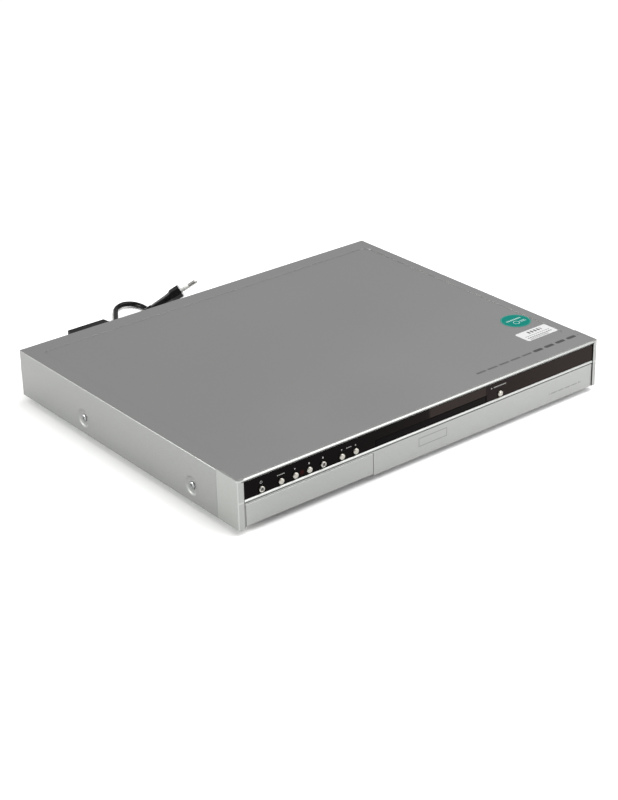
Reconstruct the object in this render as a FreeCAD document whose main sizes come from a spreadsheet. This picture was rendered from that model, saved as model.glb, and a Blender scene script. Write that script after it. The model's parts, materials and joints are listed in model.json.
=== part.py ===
"""Disc recorder with a hard disk: metal case, moulded front with a flap, tray loader, boards, mains lead.

Millimetres. The pieces are laid out on a bench frame: x runs across from the middle, y back from the plane
of the front and z up from the underside of the case. Each finished piece is then lifted by its feet and moved
so that the origin lies on the floor under the middle of the recorder.
"""
import FreeCAD, Part
import Sketcher
import math
import os
import re

V = FreeCAD.Vector

# Driving dimensions
SIZES = {
    "case": {
        "body_width": 430.0,
        "body_depth": 347.3,
        "body_height": 47.2,
        "cover_gauge": 0.8,
        "cover_bend": 1.2,
        "slip_fit": 0.2,
        "press_margin_left": 14.3,
        "press_margin_right": 11.0,
        "press_front": 32.7,
        "press_margin_rear": 18.3,
        "press_corner": 8.0,
        "press_depth": 0.5,
        "dimple_front": 68.0,
        "dimple_margin_rear": 108.3,
        "dimple_height": 15.5,
        "dimple_radius": 10.0,
        "dimple_floor": 6.2,
        "dimple_depth": 1.6,
        "tab_margin": 18.0,
        "tab_middle": 43.0,
        "tab_width": 16.0,
        "tab_drop": 8.5,
        "screw_radius": 1.45,
        "screw_hole": 1.55,
        "screw_head": 3.8,
        "screw_rise": 1.4,
        "screw_grip": 5.0,
    },
    "chassis": {
        "chassis_gauge": 1.0,
        "flange_rise": 26.0,
        "vent_width": 3.0,
        "vent_length": 40.0,
        "vent_pitch": 8.0,
        "vent_count": 9,
        "hot_vent_inset": 20.0,
        "hot_vent_behind": 27.0,
        "disk_vent_inset": 16.0,
        "disk_vent_behind": 34.0,
        "rib_width": 8.0,
        "rib_rise": 1.2,
        "rib_place": 20.0,
        "foot_height": 6.0,
        "foot_radius": 13.0,
        "foot_tip": 11.0,
        "foot_margin": 37.0,
        "foot_front": 34.0,
        "foot_margin_rear": 35.3,
        "board_rise": 6.0,
        "board_thick": 1.6,
        "post_radius": 3.0,
    },
    "rear": {
        "panel_gauge": 1.0,
        "panel_foot": 8.0,
        "fan_margin": 85.0,
        "fan_z": 24.0,
        "fan_side": 40.0,
        "fan_thick": 10.0,
        "fan_bore": 18.8,
        "fan_hub": 8.5,
        "fan_blades": 7,
        "fan_blade_tip": 18.2,
        "fan_blade_thick": 1.0,
        "fan_blade_chord": 8.0,
        "fan_blade_angle": 40.0,
        "fan_shaft": 1.5,
        "fan_seat": 6.0,
        "hood_width": 45.4,
        "hood_depth": 15.0,
        "hood_top": 44.0,
        "hood_base": 3.0,
        "hood_wall": 1.6,
        "hood_draft": 2.5,
        "hood_slot": 2.4,
        "hood_slots": 6,
        "scart_x": 2.0,
        "scart_width": 47.0,
        "scart_tall": 15.5,
        "scart_pitch": 19.0,
        "scart_proud": 2.2,
        "tuner_inset": 16.0,
        "tuner_width": 22.0,
        "tuner_pitch": 17.0,
        "aerial_radius": 4.7,
        "aerial_proud": 8.0,
        "socket_collar": 0.8,
        "phono_x": 64.0,
        "phono_pitch": 18.0,
        "phono_columns": 6,
        "phono_low": 17.0,
        "phono_rise": 18.0,
        "phono_radius": 4.15,
        "phono_bore": 1.75,
        "phono_proud": 8.0,
        "s_socket_pitch": 22.0,
        "s_socket_radius": 6.0,
        "optic_side": 10.0,
        "lead_margin": 29.0,
        "lead_z": 13.0,
        "bushing_neck": 5.0,
    },
    "front": {
        "fascia_depth": 30.0,
        "fascia_wall": 1.9,
        "strip_margin_left": 7.2,
        "strip_margin_right": 6.3,
        "strip_low": 27.0,
        "strip_high": 43.3,
        "strip_corner": 2.0,
        "strip_thick": 1.8,
        "strip_sunk": 0.9,
        "lip_width": 3.0,
        "panel_sunk": 0.8,
        "panel_high": 23.6,
        "web_back": 5.2,
        "floor_lip": 1.8,
        "flap_inset": 1.2,
        "flap_tray_gap": 3.4,
        "flap_low": 1.2,
        "flap_high": 22.0,
        "flap_thick": 2.2,
        "flap_gap": 0.5,
        "hinge_y": 2.3,
        "hinge_z": 2.6,
        "hinge_pin": 1.0,
        "jack_wall": 16.0,
        "jack_pitch": 17.0,
        "bezel_overhang": 1.15,
        "tray_bezel_high": 33.4,
        "tray_bezel_gap": 0.5,
        "button_z": 31.4,
        "button_radius": 3.0,
        "button_proud": 1.0,
        "button_gap": 0.3,
        "button_flange": 4.4,
        "button_stem": 3.0,
        "button_travel": 0.8,
        "display_left": 1.0,
        "display_right": 68.0,
        "display_low": 35.2,
        "display_high": 42.4,
    },
    "loader": {
        "disc_x": 2.85,
        "disc_y": 72.0,
        "disc_room": 60.6,
        "tray_half": 65.0,
        "tray_length": 180.0,
        "tray_low": 26.9,
        "tray_high": 33.3,
        "well_floor": 28.2,
        "tray_slot": 20.0,
        "bridge_start": 140.0,
        "bridge_under": 31.8,
        "tray_travel": 134.0,
        "rail_gap": 0.3,
        "frame_wall": 2.0,
        "frame_length": 193.0,
        "deck_low": 14.5,
        "rear_deck": 9.0,
        "deck_thick": 2.0,
        "wall_top": 36.0,
        "gear_y": 40.0,
        "rack_module": 1.0,
        "rack_low": 27.0,
        "rack_high": 29.8,
        "pinion_teeth": 14,
        "wheel_module": 0.8,
        "wheel_teeth": 36,
        "wheel_low": 20.6,
        "wheel_thick": 2.4,
        "idler_teeth": 12,
        "pulley_radius": 13.0,
        "pulley_low": 17.2,
        "pulley_thick": 2.8,
        "gear_shaft": 1.5,
        "gear_fit": 0.06,
        "backlash": 0.1,
        "motor_x": -14.0,
        "motor_y": 28.0,
        "motor_radius": 12.0,
        "motor_tall": 11.5,
        "motor_pulley": 3.0,
        "belt_thick": 1.2,
        "belt_gap": 0.15,
        "pivot_y": 183.0,
        "pivot_z": 17.0,
        "pivot_reach": 6.0,
        "pivot_pin": 1.5,
        "pivot_fit": 0.08,
        "drop_pin": 1.5,
        "drop_z": 13.4,
        "drop_fit": 0.15,
        "drop_fall": 7.2,
        "cam_travel": 14.0,
        "cam_y": 46.5,
        "cam_thick": 3.0,
        "traverse_front": 52.0,
        "traverse_half": 45.0,
        "traverse_low": 12.4,
        "traverse_thick": 2.0,
        "disc_plane": 29.3,
        "table_radius": 14.0,
        "table_thick": 2.2,
        "spigot_radius": 7.3,
        "spigot_top": 32.6,
        "spindle_radius": 1.0,
        "spindle_fit": 0.06,
        "rod_radius": 1.5,
        "rod_z": 20.0,
        "rod_front": 90.0,
        "rod_left": -22.0,
        "rod_right": 22.0,
        "screw_x": 33.0,
        "pickup_front": 94.0,
        "pickup_length": 30.0,
        "pickup_travel": 34.0,
        "bridge_gauge": 1.0,
        "puck_bore": 13.0,
        "puck_under": 33.8,
        "puck_radius": 12.6,
        "puck_flange": 15.5,
    },
    "boards": {
        "disk_margin": 17.4,
        "disk_front": 62.0,
        "disk_width": 101.6,
        "disk_length": 147.0,
        "disk_tall": 26.1,
        "disk_low": 9.0,
        "platter_radius": 47.5,
        "platter_thick": 1.3,
        "platter_pitch": 6.0,
        "platter_y": 52.0,
        "arm_x": 30.0,
        "arm_y": 50.0,
        "power_margin": 9.0,
        "power_margin_rear": 28.3,
        "power_width": 110.0,
        "power_length": 112.0,
        "main_gap": 18.0,
        "main_margin": 11.0,
        "main_front": 216.0,
    },
    "lead": {
        "lead_radius": 2.75,
        "relief_length": 22.0,
        "relief_tip": 3.3,
        "coil_x": -66.0,
        "coil_y": 387.5,
        "coil_radius": 36.5,
        "coil_step": 6.0,
        "coil_layer": 6.0,
        "plug_x": -32.6,
        "plug_y": 418.4,
        "plug_z": 4.5,
        "plug_heading": -24.6,
        "plug_tilt": 28.0,
        "plug_roll": -26.4,
        "plug_width": 35.3,
        "plug_thick": 13.7,
        "plug_body": 36.0,
        "plug_tail": 17.0,
        "pin_radius": 2.0,
        "pin_length": 19.0,
        "pin_spread": 9.5,
    },
}

DOC = FreeCAD.newDocument("disc_recorder")
SHEET = DOC.addObject("Spreadsheet::Sheet", "Sizes")
LAYOUT = DOC.addObject("App::VarSet", "Layout")
OWNERS = {}
NODES = {}


def fill_sheet():
    """One row for each driving dimension: its group, its name and its value."""
    row = 1
    for group, entries in SIZES.items():
        for alias, value in entries.items():
            SHEET.set(f"A{row}", group)
            SHEET.set(f"B{row}", alias)
            SHEET.set(f"C{row}", str(value))
            SHEET.setAlias(f"C{row}", alias)
            OWNERS[alias] = "Sizes." + alias
            row += 1
    DOC.recompute()


def named(text):
    """The expression with each dimension's name led by the object that holds it."""
    return re.sub(r"[a-z][a-z0-9_]*", lambda word: OWNERS.get(word.group(0), word.group(0)), text)


def derive(alias, text, meaning):
    """A place or size that is worked out from the sheet."""
    LAYOUT.addProperty("App::PropertyFloat", alias, "Layout", meaning)
    LAYOUT.setExpression(alias, named(text))
    OWNERS[alias] = "Layout." + alias


def size(alias):
    """A dimension's value, for the few pieces whose shape is worked out by a formula."""
    holder = LAYOUT if OWNERS[alias].startswith("Layout") else SHEET
    return float(getattr(holder, alias))


def bind(thing, **settings):
    for setting, text in settings.items():
        thing.setExpression(setting.replace("__", "."), named(str(text)))
    return thing


# Directions that a rod, cone or turned piece can point in
POINTING = {
    "X": FreeCAD.Rotation(V(0, 1, 0), 90),
    "Y": FreeCAD.Rotation(V(1, 0, 0), -90),
    "Z": FreeCAD.Rotation(),
    "-X": FreeCAD.Rotation(V(0, 1, 0), -90),
    "-Y": FreeCAD.Rotation(V(1, 0, 0), 90),
    "-Z": FreeCAD.Rotation(V(1, 0, 0), 180),
}


def at(thing, x, y, z, direction="Z"):
    thing.Placement = FreeCAD.Placement(V(), POINTING[direction])
    return bind(thing, Placement__Base__x=x, Placement__Base__y=y, Placement__Base__z=z)


def block(x, y, z):
    """A box between two values on each axis."""
    box = DOC.addObject("Part::Box", "block")
    bind(box, Length=f"({x[1]}) - ({x[0]})", Width=f"({y[1]}) - ({y[0]})", Height=f"({z[1]}) - ({z[0]})")
    return at(box, x[0], y[0], z[0])


def rod(direction, start, radius, length):
    cylinder = DOC.addObject("Part::Cylinder", "rod")
    bind(cylinder, Radius=radius, Height=length)
    return at(cylinder, *start, direction)


def cone(direction, start, first, last, length):
    taper = DOC.addObject("Part::Cone", "cone")
    bind(taper, Radius1=first, Radius2=last, Height=length)
    return at(taper, *start, direction)


def union(*pieces):
    if len(pieces) == 1:
        return pieces[0]
    fused = DOC.addObject("Part::MultiFuse", "union")
    fused.Shapes = list(pieces)
    fused.Refine = True
    return fused


def group(*pieces):
    together = DOC.addObject("Part::Compound", "group")
    together.Links = list(pieces)
    return together


def cut(base, *tools):
    taken = DOC.addObject("Part::Cut", "cut")
    taken.Base = base
    taken.Tool = tools[0] if len(tools) == 1 else group(*tools)
    taken.Refine = True
    return taken


def body(name):
    return DOC.addObject("PartDesign::Body", name)


def outline(points):
    """Adds a closed polygon whose corners are held by the dimensions."""

    def draw(sketch):
        count = len(points)
        turn = 2 * math.pi / count
        ring = [V(50 * math.cos(turn * k), 50 * math.sin(turn * k), 0) for k in range(count)]
        edges = [Part.LineSegment(ring[k], ring[(k + 1) % count]) for k in range(count)]
        lines = sketch.addGeometry(edges, False)
        ties = []
        for k in range(count):
            ties.append(Sketcher.Constraint("Coincident", lines[k], 2, lines[(k + 1) % count], 1))
        for k in range(count):
            ties.append(Sketcher.Constraint("DistanceX", -1, 1, lines[k], 1, ring[k].x))
            ties.append(Sketcher.Constraint("DistanceY", -1, 1, lines[k], 1, ring[k].y))
        first = sketch.ConstraintCount
        sketch.addConstraint(ties)
        for k, (across, up) in enumerate(points):
            sketch.setExpression(f"Constraints[{first + count + 2 * k}]", named(across))
            sketch.setExpression(f"Constraints[{first + count + 2 * k + 1}]", named(up))

    return draw


def oblong(across, up):
    """A rectangle between two values each way."""
    return outline([(across[0], up[0]), (across[1], up[0]), (across[1], up[1]), (across[0], up[1])])


def rounded(across, up, radius):
    """A rectangle with round corners, each arc tangent to its sides."""

    def draw(sketch):
        far, arc = 50.0, 5.0
        near = far - arc
        ends = [((-near, -far), (near, -far)), ((far, -near), (far, near))]
        ends += [((near, far), (-near, far)), ((-far, near), (-far, -near))]
        edges = [Part.LineSegment(V(*a, 0), V(*b, 0)) for a, b in ends]
        for k, centre in enumerate([(near, -near), (near, near), (-near, near), (-near, -near)]):
            circle = Part.Circle(V(*centre, 0), V(0, 0, 1), arc)
            edges.append(Part.ArcOfCircle(circle, (k - 1) * math.pi / 2, k * math.pi / 2))
        made = sketch.addGeometry(edges, False)
        sides, arcs = made[:4], made[4:]
        ties = []
        for k in range(4):
            ties.append(Sketcher.Constraint("Tangent", sides[k], 2, arcs[k], 1))
            ties.append(Sketcher.Constraint("Tangent", arcs[k], 2, sides[(k + 1) % 4], 1))
        for k in (0, 2):
            ties.append(Sketcher.Constraint("Horizontal", sides[k]))
            ties.append(Sketcher.Constraint("Vertical", sides[k + 1]))
        for k in (1, 2, 3):
            ties.append(Sketcher.Constraint("Equal", arcs[0], arcs[k]))
        sketch.addConstraint(ties)
        places = [("DistanceY", 0, -far, up[0]), ("DistanceX", 1, far, across[1])]
        places += [("DistanceY", 2, far, up[1]), ("DistanceX", 3, -far, across[0])]
        for kind, side, now, text in places:
            tie = sketch.addConstraint(Sketcher.Constraint(kind, -1, 1, sides[side], 1, now))
            sketch.setExpression(f"Constraints[{tie}]", named(text))
        tie = sketch.addConstraint(Sketcher.Constraint("Radius", arcs[0], arc))
        sketch.setExpression(f"Constraints[{tie}]", named(radius))

    return draw


def circle(across, up, radius):
    def draw(sketch):
        made = sketch.addGeometry(Part.Circle(V(10, 10, 0), V(0, 0, 1), 5), False)
        wanted = [("DistanceX", (-1, 1, made, 3, 10), across), ("DistanceY", (-1, 1, made, 3, 10), up)]
        wanted.append(("Radius", (made, 5), radius))
        for kind, ends, text in wanted:
            tie = sketch.addConstraint(Sketcher.Constraint(kind, *ends))
            sketch.setExpression(f"Constraints[{tie}]", named(text))

    return draw


def drawn(owner, plane, place, outlines):
    """A sketch on one of the body's origin planes, moved along the plane's axis to a value."""
    sketch = owner.newObject("Sketcher::SketchObject", "outline")
    origin = next(part for part in owner.Origin.OriginFeatures if part.Role == plane)
    sketch.AttachmentSupport = [(origin, "")]
    sketch.MapMode = "FlatFace"
    sign = "-" if plane == "XZ_Plane" else ""
    sketch.setExpression("AttachmentOffset.Base.z", named(f"{sign}({place})"))
    for draw in outlines:
        draw(sketch)
    return sketch


def pad(owner, plane, span, *outlines):
    """Adds material along the plane's axis from the first value to the second."""
    feature = owner.newObject("PartDesign::Pad", "pad")
    feature.Profile = drawn(owner, plane, span[0], outlines)
    feature.setExpression("Length", named(f"({span[1]}) - ({span[0]})"))
    feature.Reversed = plane == "XZ_Plane"
    return feature


def pocket(owner, plane, span, *outlines):
    """Takes material away along the plane's axis from the first value to the second."""
    feature = owner.newObject("PartDesign::Pocket", "pocket")
    feature.Profile = drawn(owner, plane, span[0], outlines)
    feature.setExpression("Length", named(f"({span[1]}) - ({span[0]})"))
    feature.Reversed = plane != "XZ_Plane"
    return feature


def repeated(owner, feature, axis, pitch, count):
    """Repeats a pad or pocket along one of the body's origin axes."""
    line = next(part for part in owner.Origin.OriginFeatures if part.Role == axis)
    pattern = owner.newObject("PartDesign::LinearPattern", "row")
    pattern.Originals = [feature]
    pattern.Direction = (line, [""])
    pattern.Occurrences = int(size(count))
    pattern.setExpression("Length", named(f"{pitch} * ({count} - 1)"))
    owner.Tip = pattern
    return pattern


def turned(points, start, direction="Z"):
    """A piece turned about its own axis, from corners given as radius and height."""
    owner = body("turned")
    feature = owner.newObject("PartDesign::Revolution", "turning")
    sketch = drawn(owner, "XZ_Plane", "0", [outline(points)])
    feature.Profile = sketch
    feature.ReferenceAxis = (sketch, ["V_Axis"])
    feature.Angle = 360
    return at(owner, *start, direction)


def soften(owner, radius, wanted):
    """A fillet on the edges of the body that the test picks out."""
    DOC.recompute()
    base = owner.Tip
    picked = [f"Edge{k}" for k, edge in enumerate(base.Shape.Edges, 1) if wanted(edge.BoundBox)]
    fillet = owner.newObject("PartDesign::Fillet", "fillet")
    fillet.Base = (base, picked)
    fillet.setExpression("Radius", named(radius))
    owner.Tip = fillet
    return fillet


def shaped(shape):
    """A piece whose outline follows a formula."""
    piece = DOC.addObject("Part::Feature", "shaped")
    piece.Shape = shape
    return piece


def node(label, piece):
    """Names a finished piece and moves it from the bench to its place over the floor."""
    if any("Placement" in path for path, text in piece.ExpressionEngine):
        piece = group(piece)
    piece.Label = label
    bind(piece, Placement__Base__y="front_y", Placement__Base__z="foot_height")
    NODES[label] = piece
    return piece


fill_sheet()
derive("front_y", "button_proud - (button_proud + body_depth + hood_depth) / 2", "plane of the front")
derive("half", "body_width / 2", "half the width of the case")
derive("inner_half", "half - cover_gauge", "inside of the cover's side")
derive("chassis_half", "inner_half - dimple_depth", "outside of the chassis flange")
derive("panel_back", "body_depth - cover_gauge - slip_fit", "rear face of the rear panel")
derive("panel_face", "panel_back - panel_gauge", "inner face of the rear panel")
derive("under_cover", "body_height - cover_gauge - press_depth", "lowest part of the cover's top")
derive("press_left", "-(half - press_margin_left)", "left edge of the pressed panel")
derive("press_right", "half - press_margin_right", "right edge of the pressed panel")
derive("press_rear", "body_depth - press_margin_rear", "rear edge of the pressed panel")
derive("dimple_rear", "body_depth - dimple_margin_rear", "place of the rear side screws")
derive("tab_reach", "half - tab_margin", "place of the outer rear screws")
derive("foot_reach", "half - foot_margin", "place of the feet to each side")
derive("foot_rear", "body_depth - foot_margin_rear", "place of the rear feet")
derive("power_left", "-(half - power_margin)", "left edge of the power board")
derive("power_front", "panel_face - power_margin_rear - power_length", "front edge of the power board")
derive("main_left", "power_left + power_width + main_gap", "left edge of the main board")
derive("main_right", "half - main_margin", "right edge of the main board")
derive("disk_left", "half - disk_margin - disk_width", "left side of the hard disk")
derive("hot_vent_left", "power_left + hot_vent_inset", "first slot under the power board")
derive("hot_vent_front", "power_front + hot_vent_behind", "front end of the slots under the power board")
derive("disk_vent_left", "disk_left + disk_vent_inset", "first slot under the hard disk")
derive("disk_vent_front", "disk_front + disk_vent_behind", "front end of the slots under the hard disk")
derive("fan_x", "-(half - fan_margin)", "axis of the fan")
derive("lead_x", "-(half - lead_margin)", "axis of the mains lead's relief")
derive("tuner_x", "main_left + tuner_inset", "axis of the aerial sockets")
derive("s_socket_x", "phono_x + (phono_columns - 1) * phono_pitch + s_socket_pitch",
       "axis of the small round socket")
derive("strip_left", "-(half - strip_margin_left)", "left end of the window strip")
derive("strip_right", "half - strip_margin_right", "right end of the window strip")
derive("floor_front", "lip_width + 9", "front edge of the chassis floor")
derive("board_low", "chassis_gauge + board_rise", "underside of the circuit boards")
derive("board_top", "board_low + board_thick", "upper face of the circuit boards")
derive("strip_face", "strip_sunk", "front face of the window strip")
derive("strip_seat", "strip_sunk + strip_thick", "seat behind the window strip")
derive("button_reach", "web_back + button_gap + button_proud", "from a button's flange to its tip")
derive("switch_face", "web_back + button_gap + button_stem + button_travel + 0.1",
       "face of the tact switches")
derive("tuner_low", "board_top + 9.5", "height of the lower aerial socket")
derive("fan_front", "panel_face - fan_thick", "front face of the fan")
derive("tray_left", "disc_x - tray_half", "left edge of the tray")
derive("tray_right", "disc_x + tray_half", "right edge of the tray")
derive("tray_bezel_left", "tray_left - bezel_overhang", "left end of the tray's bezel")
derive("tray_bezel_right", "tray_right + bezel_overhang", "right end of the tray's bezel")
derive("left_room", "tray_bezel_left - strip_left", "length of the strip left of the tray")
derive("flap_left", "strip_left + flap_inset", "left end of the flap")
derive("flap_right", "tray_bezel_left - flap_tray_gap", "right end of the flap")
derive("rack_line", "tray_left + rack_module", "pitch line of the rack")
derive("pinion_radius", "rack_module * pinion_teeth / 2", "pitch radius of the tray pinion")
derive("wheel_radius", "wheel_module * wheel_teeth / 2", "pitch radius of the reduction wheel")
derive("idler_radius", "wheel_module * idler_teeth / 2", "pitch radius of the pulley's pinion")
derive("gear_x", "rack_line - pinion_radius", "axis of the tray pinion")
derive("idler_x", "gear_x + wheel_radius + idler_radius", "axis of the belt pulley")
derive("tray_front_back", "strip_seat + 0.6", "front end of the tray plate, behind its bezel")
derive("cam_left", "disc_x - cam_travel - 10", "left end of the cam slider")
derive("cam_right", "disc_x + 12", "right end of the cam slider")
derive("cam_low", "chassis_gauge + 2", "lower edge of the cam slider")
derive("tab_top", "tray_high + rail_gap", "underside of the tabs over the tray's edges")
derive("gear_clear", "gear_y + wheel_radius + wheel_module + 1.2",
       "where the left wall begins behind the wheel")
derive("rod_rear", "pickup_front + pickup_length + pickup_travel + 10", "rear end of the guide rods")
derive("lens_y", "pickup_front + 5", "axis of the lens")
derive("deck_top", "deck_low + deck_thick", "upper face of the loader deck")
derive("platter_x", "disk_left + disk_width / 2", "axis of the hard disk's platters")
derive("platter_low", "disk_low + 9", "underside of the lower platter")
derive("arm_axis_x", "platter_x + arm_x", "axis of the head arm")
derive("arm_axis_y", "disk_front + platter_y + arm_y", "axis of the head arm")
DOC.recompute()


# Case

# Where the cover's rear tabs are screwed to the rear panel
TABS = ("-tab_reach", "tab_middle", "tab_reach")


def top_cover():
    """Folded steel cover: three sides, a tongue over the front, a pressed panel and screw dimples."""
    shell = body("cover_shell")
    start = "fascia_depth + slip_fit"
    left, right = "-half", "half"
    profile = [(left, "0"), (left, "body_height"), (right, "body_height"), (right, "0")]
    profile += [("inner_half", "0"), ("inner_half", "body_height - cover_gauge")]
    profile += [("-inner_half", "body_height - cover_gauge"), ("-inner_half", "0")]
    pad(shell, "XZ_Plane", (start, "body_depth"), outline(profile))
    edge = size("half") - 0.01
    top = size("body_height") - 0.01
    long = size("body_depth") / 2
    soften(shell, "cover_bend", lambda box: abs(box.XMin) > edge and box.ZMin > top and box.YLength > long)
    tongue = "half - fascia_wall - slip_fit"
    sheet_top = ("body_height - cover_gauge", "body_height")
    pad(shell, "XY_Plane", sheet_top, oblong((f"-({tongue})", tongue),
                                             ("lip_width + slip_fit", start + " + 1")))
    wall = "cover_gauge"
    across = (f"press_left - {wall}", f"press_right + {wall}")
    along = (f"press_front - {wall}", f"press_rear + {wall}")
    under = ("under_cover", "body_height - cover_gauge + 0.1")
    pad(shell, "XY_Plane", under, rounded(across, along, f"press_corner + {wall}"))
    hollow = ("body_height - press_depth", "body_height + 1")
    panel = rounded(("press_left", "press_right"), ("press_front", "press_rear"), "press_corner")
    pocket(shell, "XY_Plane", hollow, panel)

    added = [shell]
    taken = []
    for side, direction, inward in (("-", "X", "+"), ("", "-X", "-")):
        for place in ("dimple_front", "dimple_rear"):
            skin = (f"{side}half {inward} cover_gauge / 2", place, "dimple_height")
            face = (f"{side}half", place, "dimple_height")
            added.append(cone(direction, skin, "dimple_radius + cover_gauge / 2",
                              "dimple_floor + cover_gauge / 2",
                              "dimple_depth + cover_gauge / 2"))
            taken.append(cone(direction, face, "dimple_radius", "dimple_floor", "dimple_depth"))
            taken.append(rod(direction, face, "screw_hole", "dimple_depth + cover_gauge + 1"))
    for place in TABS:
        across = (f"{place} - tab_width / 2", f"{place} + tab_width / 2")
        added.append(block(across, ("body_depth - cover_gauge", "body_depth"),
                           ("body_height - tab_drop", "body_height")))
        taken.append(rod("Y", (place, "body_depth - 3", "body_height - tab_drop / 2"), "screw_hole", "6"))
    return node("top_cover", cut(union(*added), *taken))


def screw(place, direction):
    """Round-headed machine screw, its head's seat at the given place and its shank pointing the given way."""
    points = [("0", "-screw_rise"), ("screw_head * 0.6", "-screw_rise"),
              ("screw_head", "-screw_rise * 0.35")]
    points += [("screw_head", "0"), ("screw_radius", "0"), ("screw_radius", "screw_grip"),
               ("0", "screw_grip")]
    return turned(points, place, direction)


def cover_screws():
    """Four screws in the side dimples and three along the rear edge."""
    screws = []
    for side, direction, inward in (("-", "X", "+"), ("", "-X", "-")):
        for place in ("dimple_front", "dimple_rear"):
            screws.append(screw((f"{side}half {inward} dimple_depth", place, "dimple_height"), direction))
    for place in TABS:
        screws.append(screw((place, "body_depth", "body_height - tab_drop / 2"), "-Y"))
    return node("cover_screws", group(*screws))


def posts_under(left, right, front, rear):
    return [(x, y) for x in (left, right) for y in (front, rear)]


# Where the floor's posts stand under the power board and the main board
BOARD_POSTS = posts_under("power_left + 5", "power_left + power_width - 5", "power_front + 5",
                          "power_front + power_length - 5")
BOARD_POSTS += posts_under("main_left + 6", "main_right - 6", "main_front + 6", "panel_face - 22")
BOARD_POSTS += [("disc_x + 60", "main_front + 6"), ("disc_x + 60", "panel_face - 22")]


def bottom_chassis():
    """Folded steel tray under everything: floor, side flanges, ribs, slots for air and board posts."""
    pan = body("chassis_pan")
    gauge = "chassis_gauge"
    profile = [("-chassis_half", "0"), ("chassis_half", "0"), ("chassis_half", "flange_rise")]
    profile += [(f"chassis_half - {gauge}", "flange_rise"), (f"chassis_half - {gauge}", gauge)]
    profile += [(f"-chassis_half + {gauge}", gauge), (f"-chassis_half + {gauge}", "flange_rise")]
    profile += [("-chassis_half", "flange_rise")]
    pad(pan, "XZ_Plane", ("floor_front", "panel_face"), outline(profile))
    for left, front in (("hot_vent_left", "hot_vent_front"), ("disk_vent_left", "disk_vent_front")):
        slot = oblong((left, f"{left} + vent_width"), (front, f"{front} + vent_length"))
        repeated(pan, pocket(pan, "XY_Plane", ("-1", "chassis_gauge + 1"), slot), "X_Axis", "vent_pitch",
                 "vent_count")
    added = [pan]
    for x, y in BOARD_POSTS:
        added.append(rod("Z", (x, y, "chassis_gauge / 2"), "post_radius", "board_low - chassis_gauge / 2"))
    for side in ("-", ""):
        middle = f"{side}(chassis_half - rib_place)"
        rib = (f"{middle} - rib_width / 2", f"{middle} + rib_width / 2")
        added.append(block(rib, ("foot_front + 30", "panel_face - 60"), ("0", "chassis_gauge + rib_rise")))
    holes = []
    for side, direction in (("-", "X"), ("", "-X")):
        for place in ("dimple_front", "dimple_rear"):
            holes.append(rod(direction, (f"{side}(chassis_half + 1)", place, "dimple_height"), "screw_hole",
                             "4"))
    return node("bottom_chassis", cut(union(*added), *holes))


def feet():
    """Four round moulded feet with a stepped skirt."""
    points = [("0", "-foot_height"), ("foot_tip - 0.8", "-foot_height"), ("foot_tip", "-foot_height + 0.8")]
    points += [("foot_radius", "-1.2"), ("foot_radius", "0"), ("0", "0")]
    made = []
    for x in ("-foot_reach", "foot_reach"):
        for y in ("foot_front", "foot_rear"):
            made.append(turned(points, (x, y, "0")))
    return node("feet", group(*made))


# Rear

# The sockets stand in two rows, counted upwards
SOCKET_ROWS = ("0", "1")


def rear_panel():
    """Steel plate with a bent foot, an air hole for the fan and a cut-out for each socket."""
    plate = body("rear_plate")
    side = "inner_half - slip_fit"
    top = "body_height - cover_gauge - slip_fit"
    pad(plate, "XZ_Plane", ("panel_face", "panel_back"), oblong((f"-({side})", side), ("0", top)))
    foot = ("-(chassis_half - chassis_gauge - slip_fit)", "chassis_half - chassis_gauge - slip_fit")
    pad(plate, "XY_Plane", ("chassis_gauge", "chassis_gauge + panel_gauge"),
        oblong(foot, ("panel_face - panel_foot", "panel_face")))
    through = ("panel_face - 1", "panel_back + 1")
    openings = [circle("fan_x", "fan_z", "fan_bore - 1"),
                circle("lead_x", "lead_z", "bushing_neck + slip_fit")]
    for row in SOCKET_ROWS:
        low = f"board_top + 1 + {row} * scart_pitch"
        openings.append(oblong(("scart_x - scart_width / 2 - slip_fit",
                                "scart_x + scart_width / 2 + slip_fit"),
                               (f"{low} - slip_fit", f"{low} + scart_tall + slip_fit")))
        openings.append(circle("tuner_x", f"tuner_low + {row} * tuner_pitch",
                               "aerial_radius + socket_collar + slip_fit"))
        for column in range(int(size("phono_columns"))):
            openings.append(circle(f"phono_x + {column} * phono_pitch", f"phono_low + {row} * phono_rise",
                                   "phono_radius + socket_collar + slip_fit"))
    openings.append(circle("s_socket_x", "phono_low", "s_socket_radius + slip_fit"))
    optic = ("s_socket_x - optic_side / 2 - slip_fit", "s_socket_x + optic_side / 2 + slip_fit")
    openings.append(oblong(optic, ("phono_low + phono_rise - optic_side / 2 - slip_fit",
                                   "phono_low + phono_rise + optic_side / 2 + slip_fit")))
    pocket(plate, "XZ_Plane", through, *openings)
    holes = []
    for place in TABS:
        holes.append(rod("Y", (place, "panel_face - 1", "body_height - tab_drop / 2"), "screw_hole", "4"))
    return node("rear_panel", cut(plate, *holes))


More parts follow.
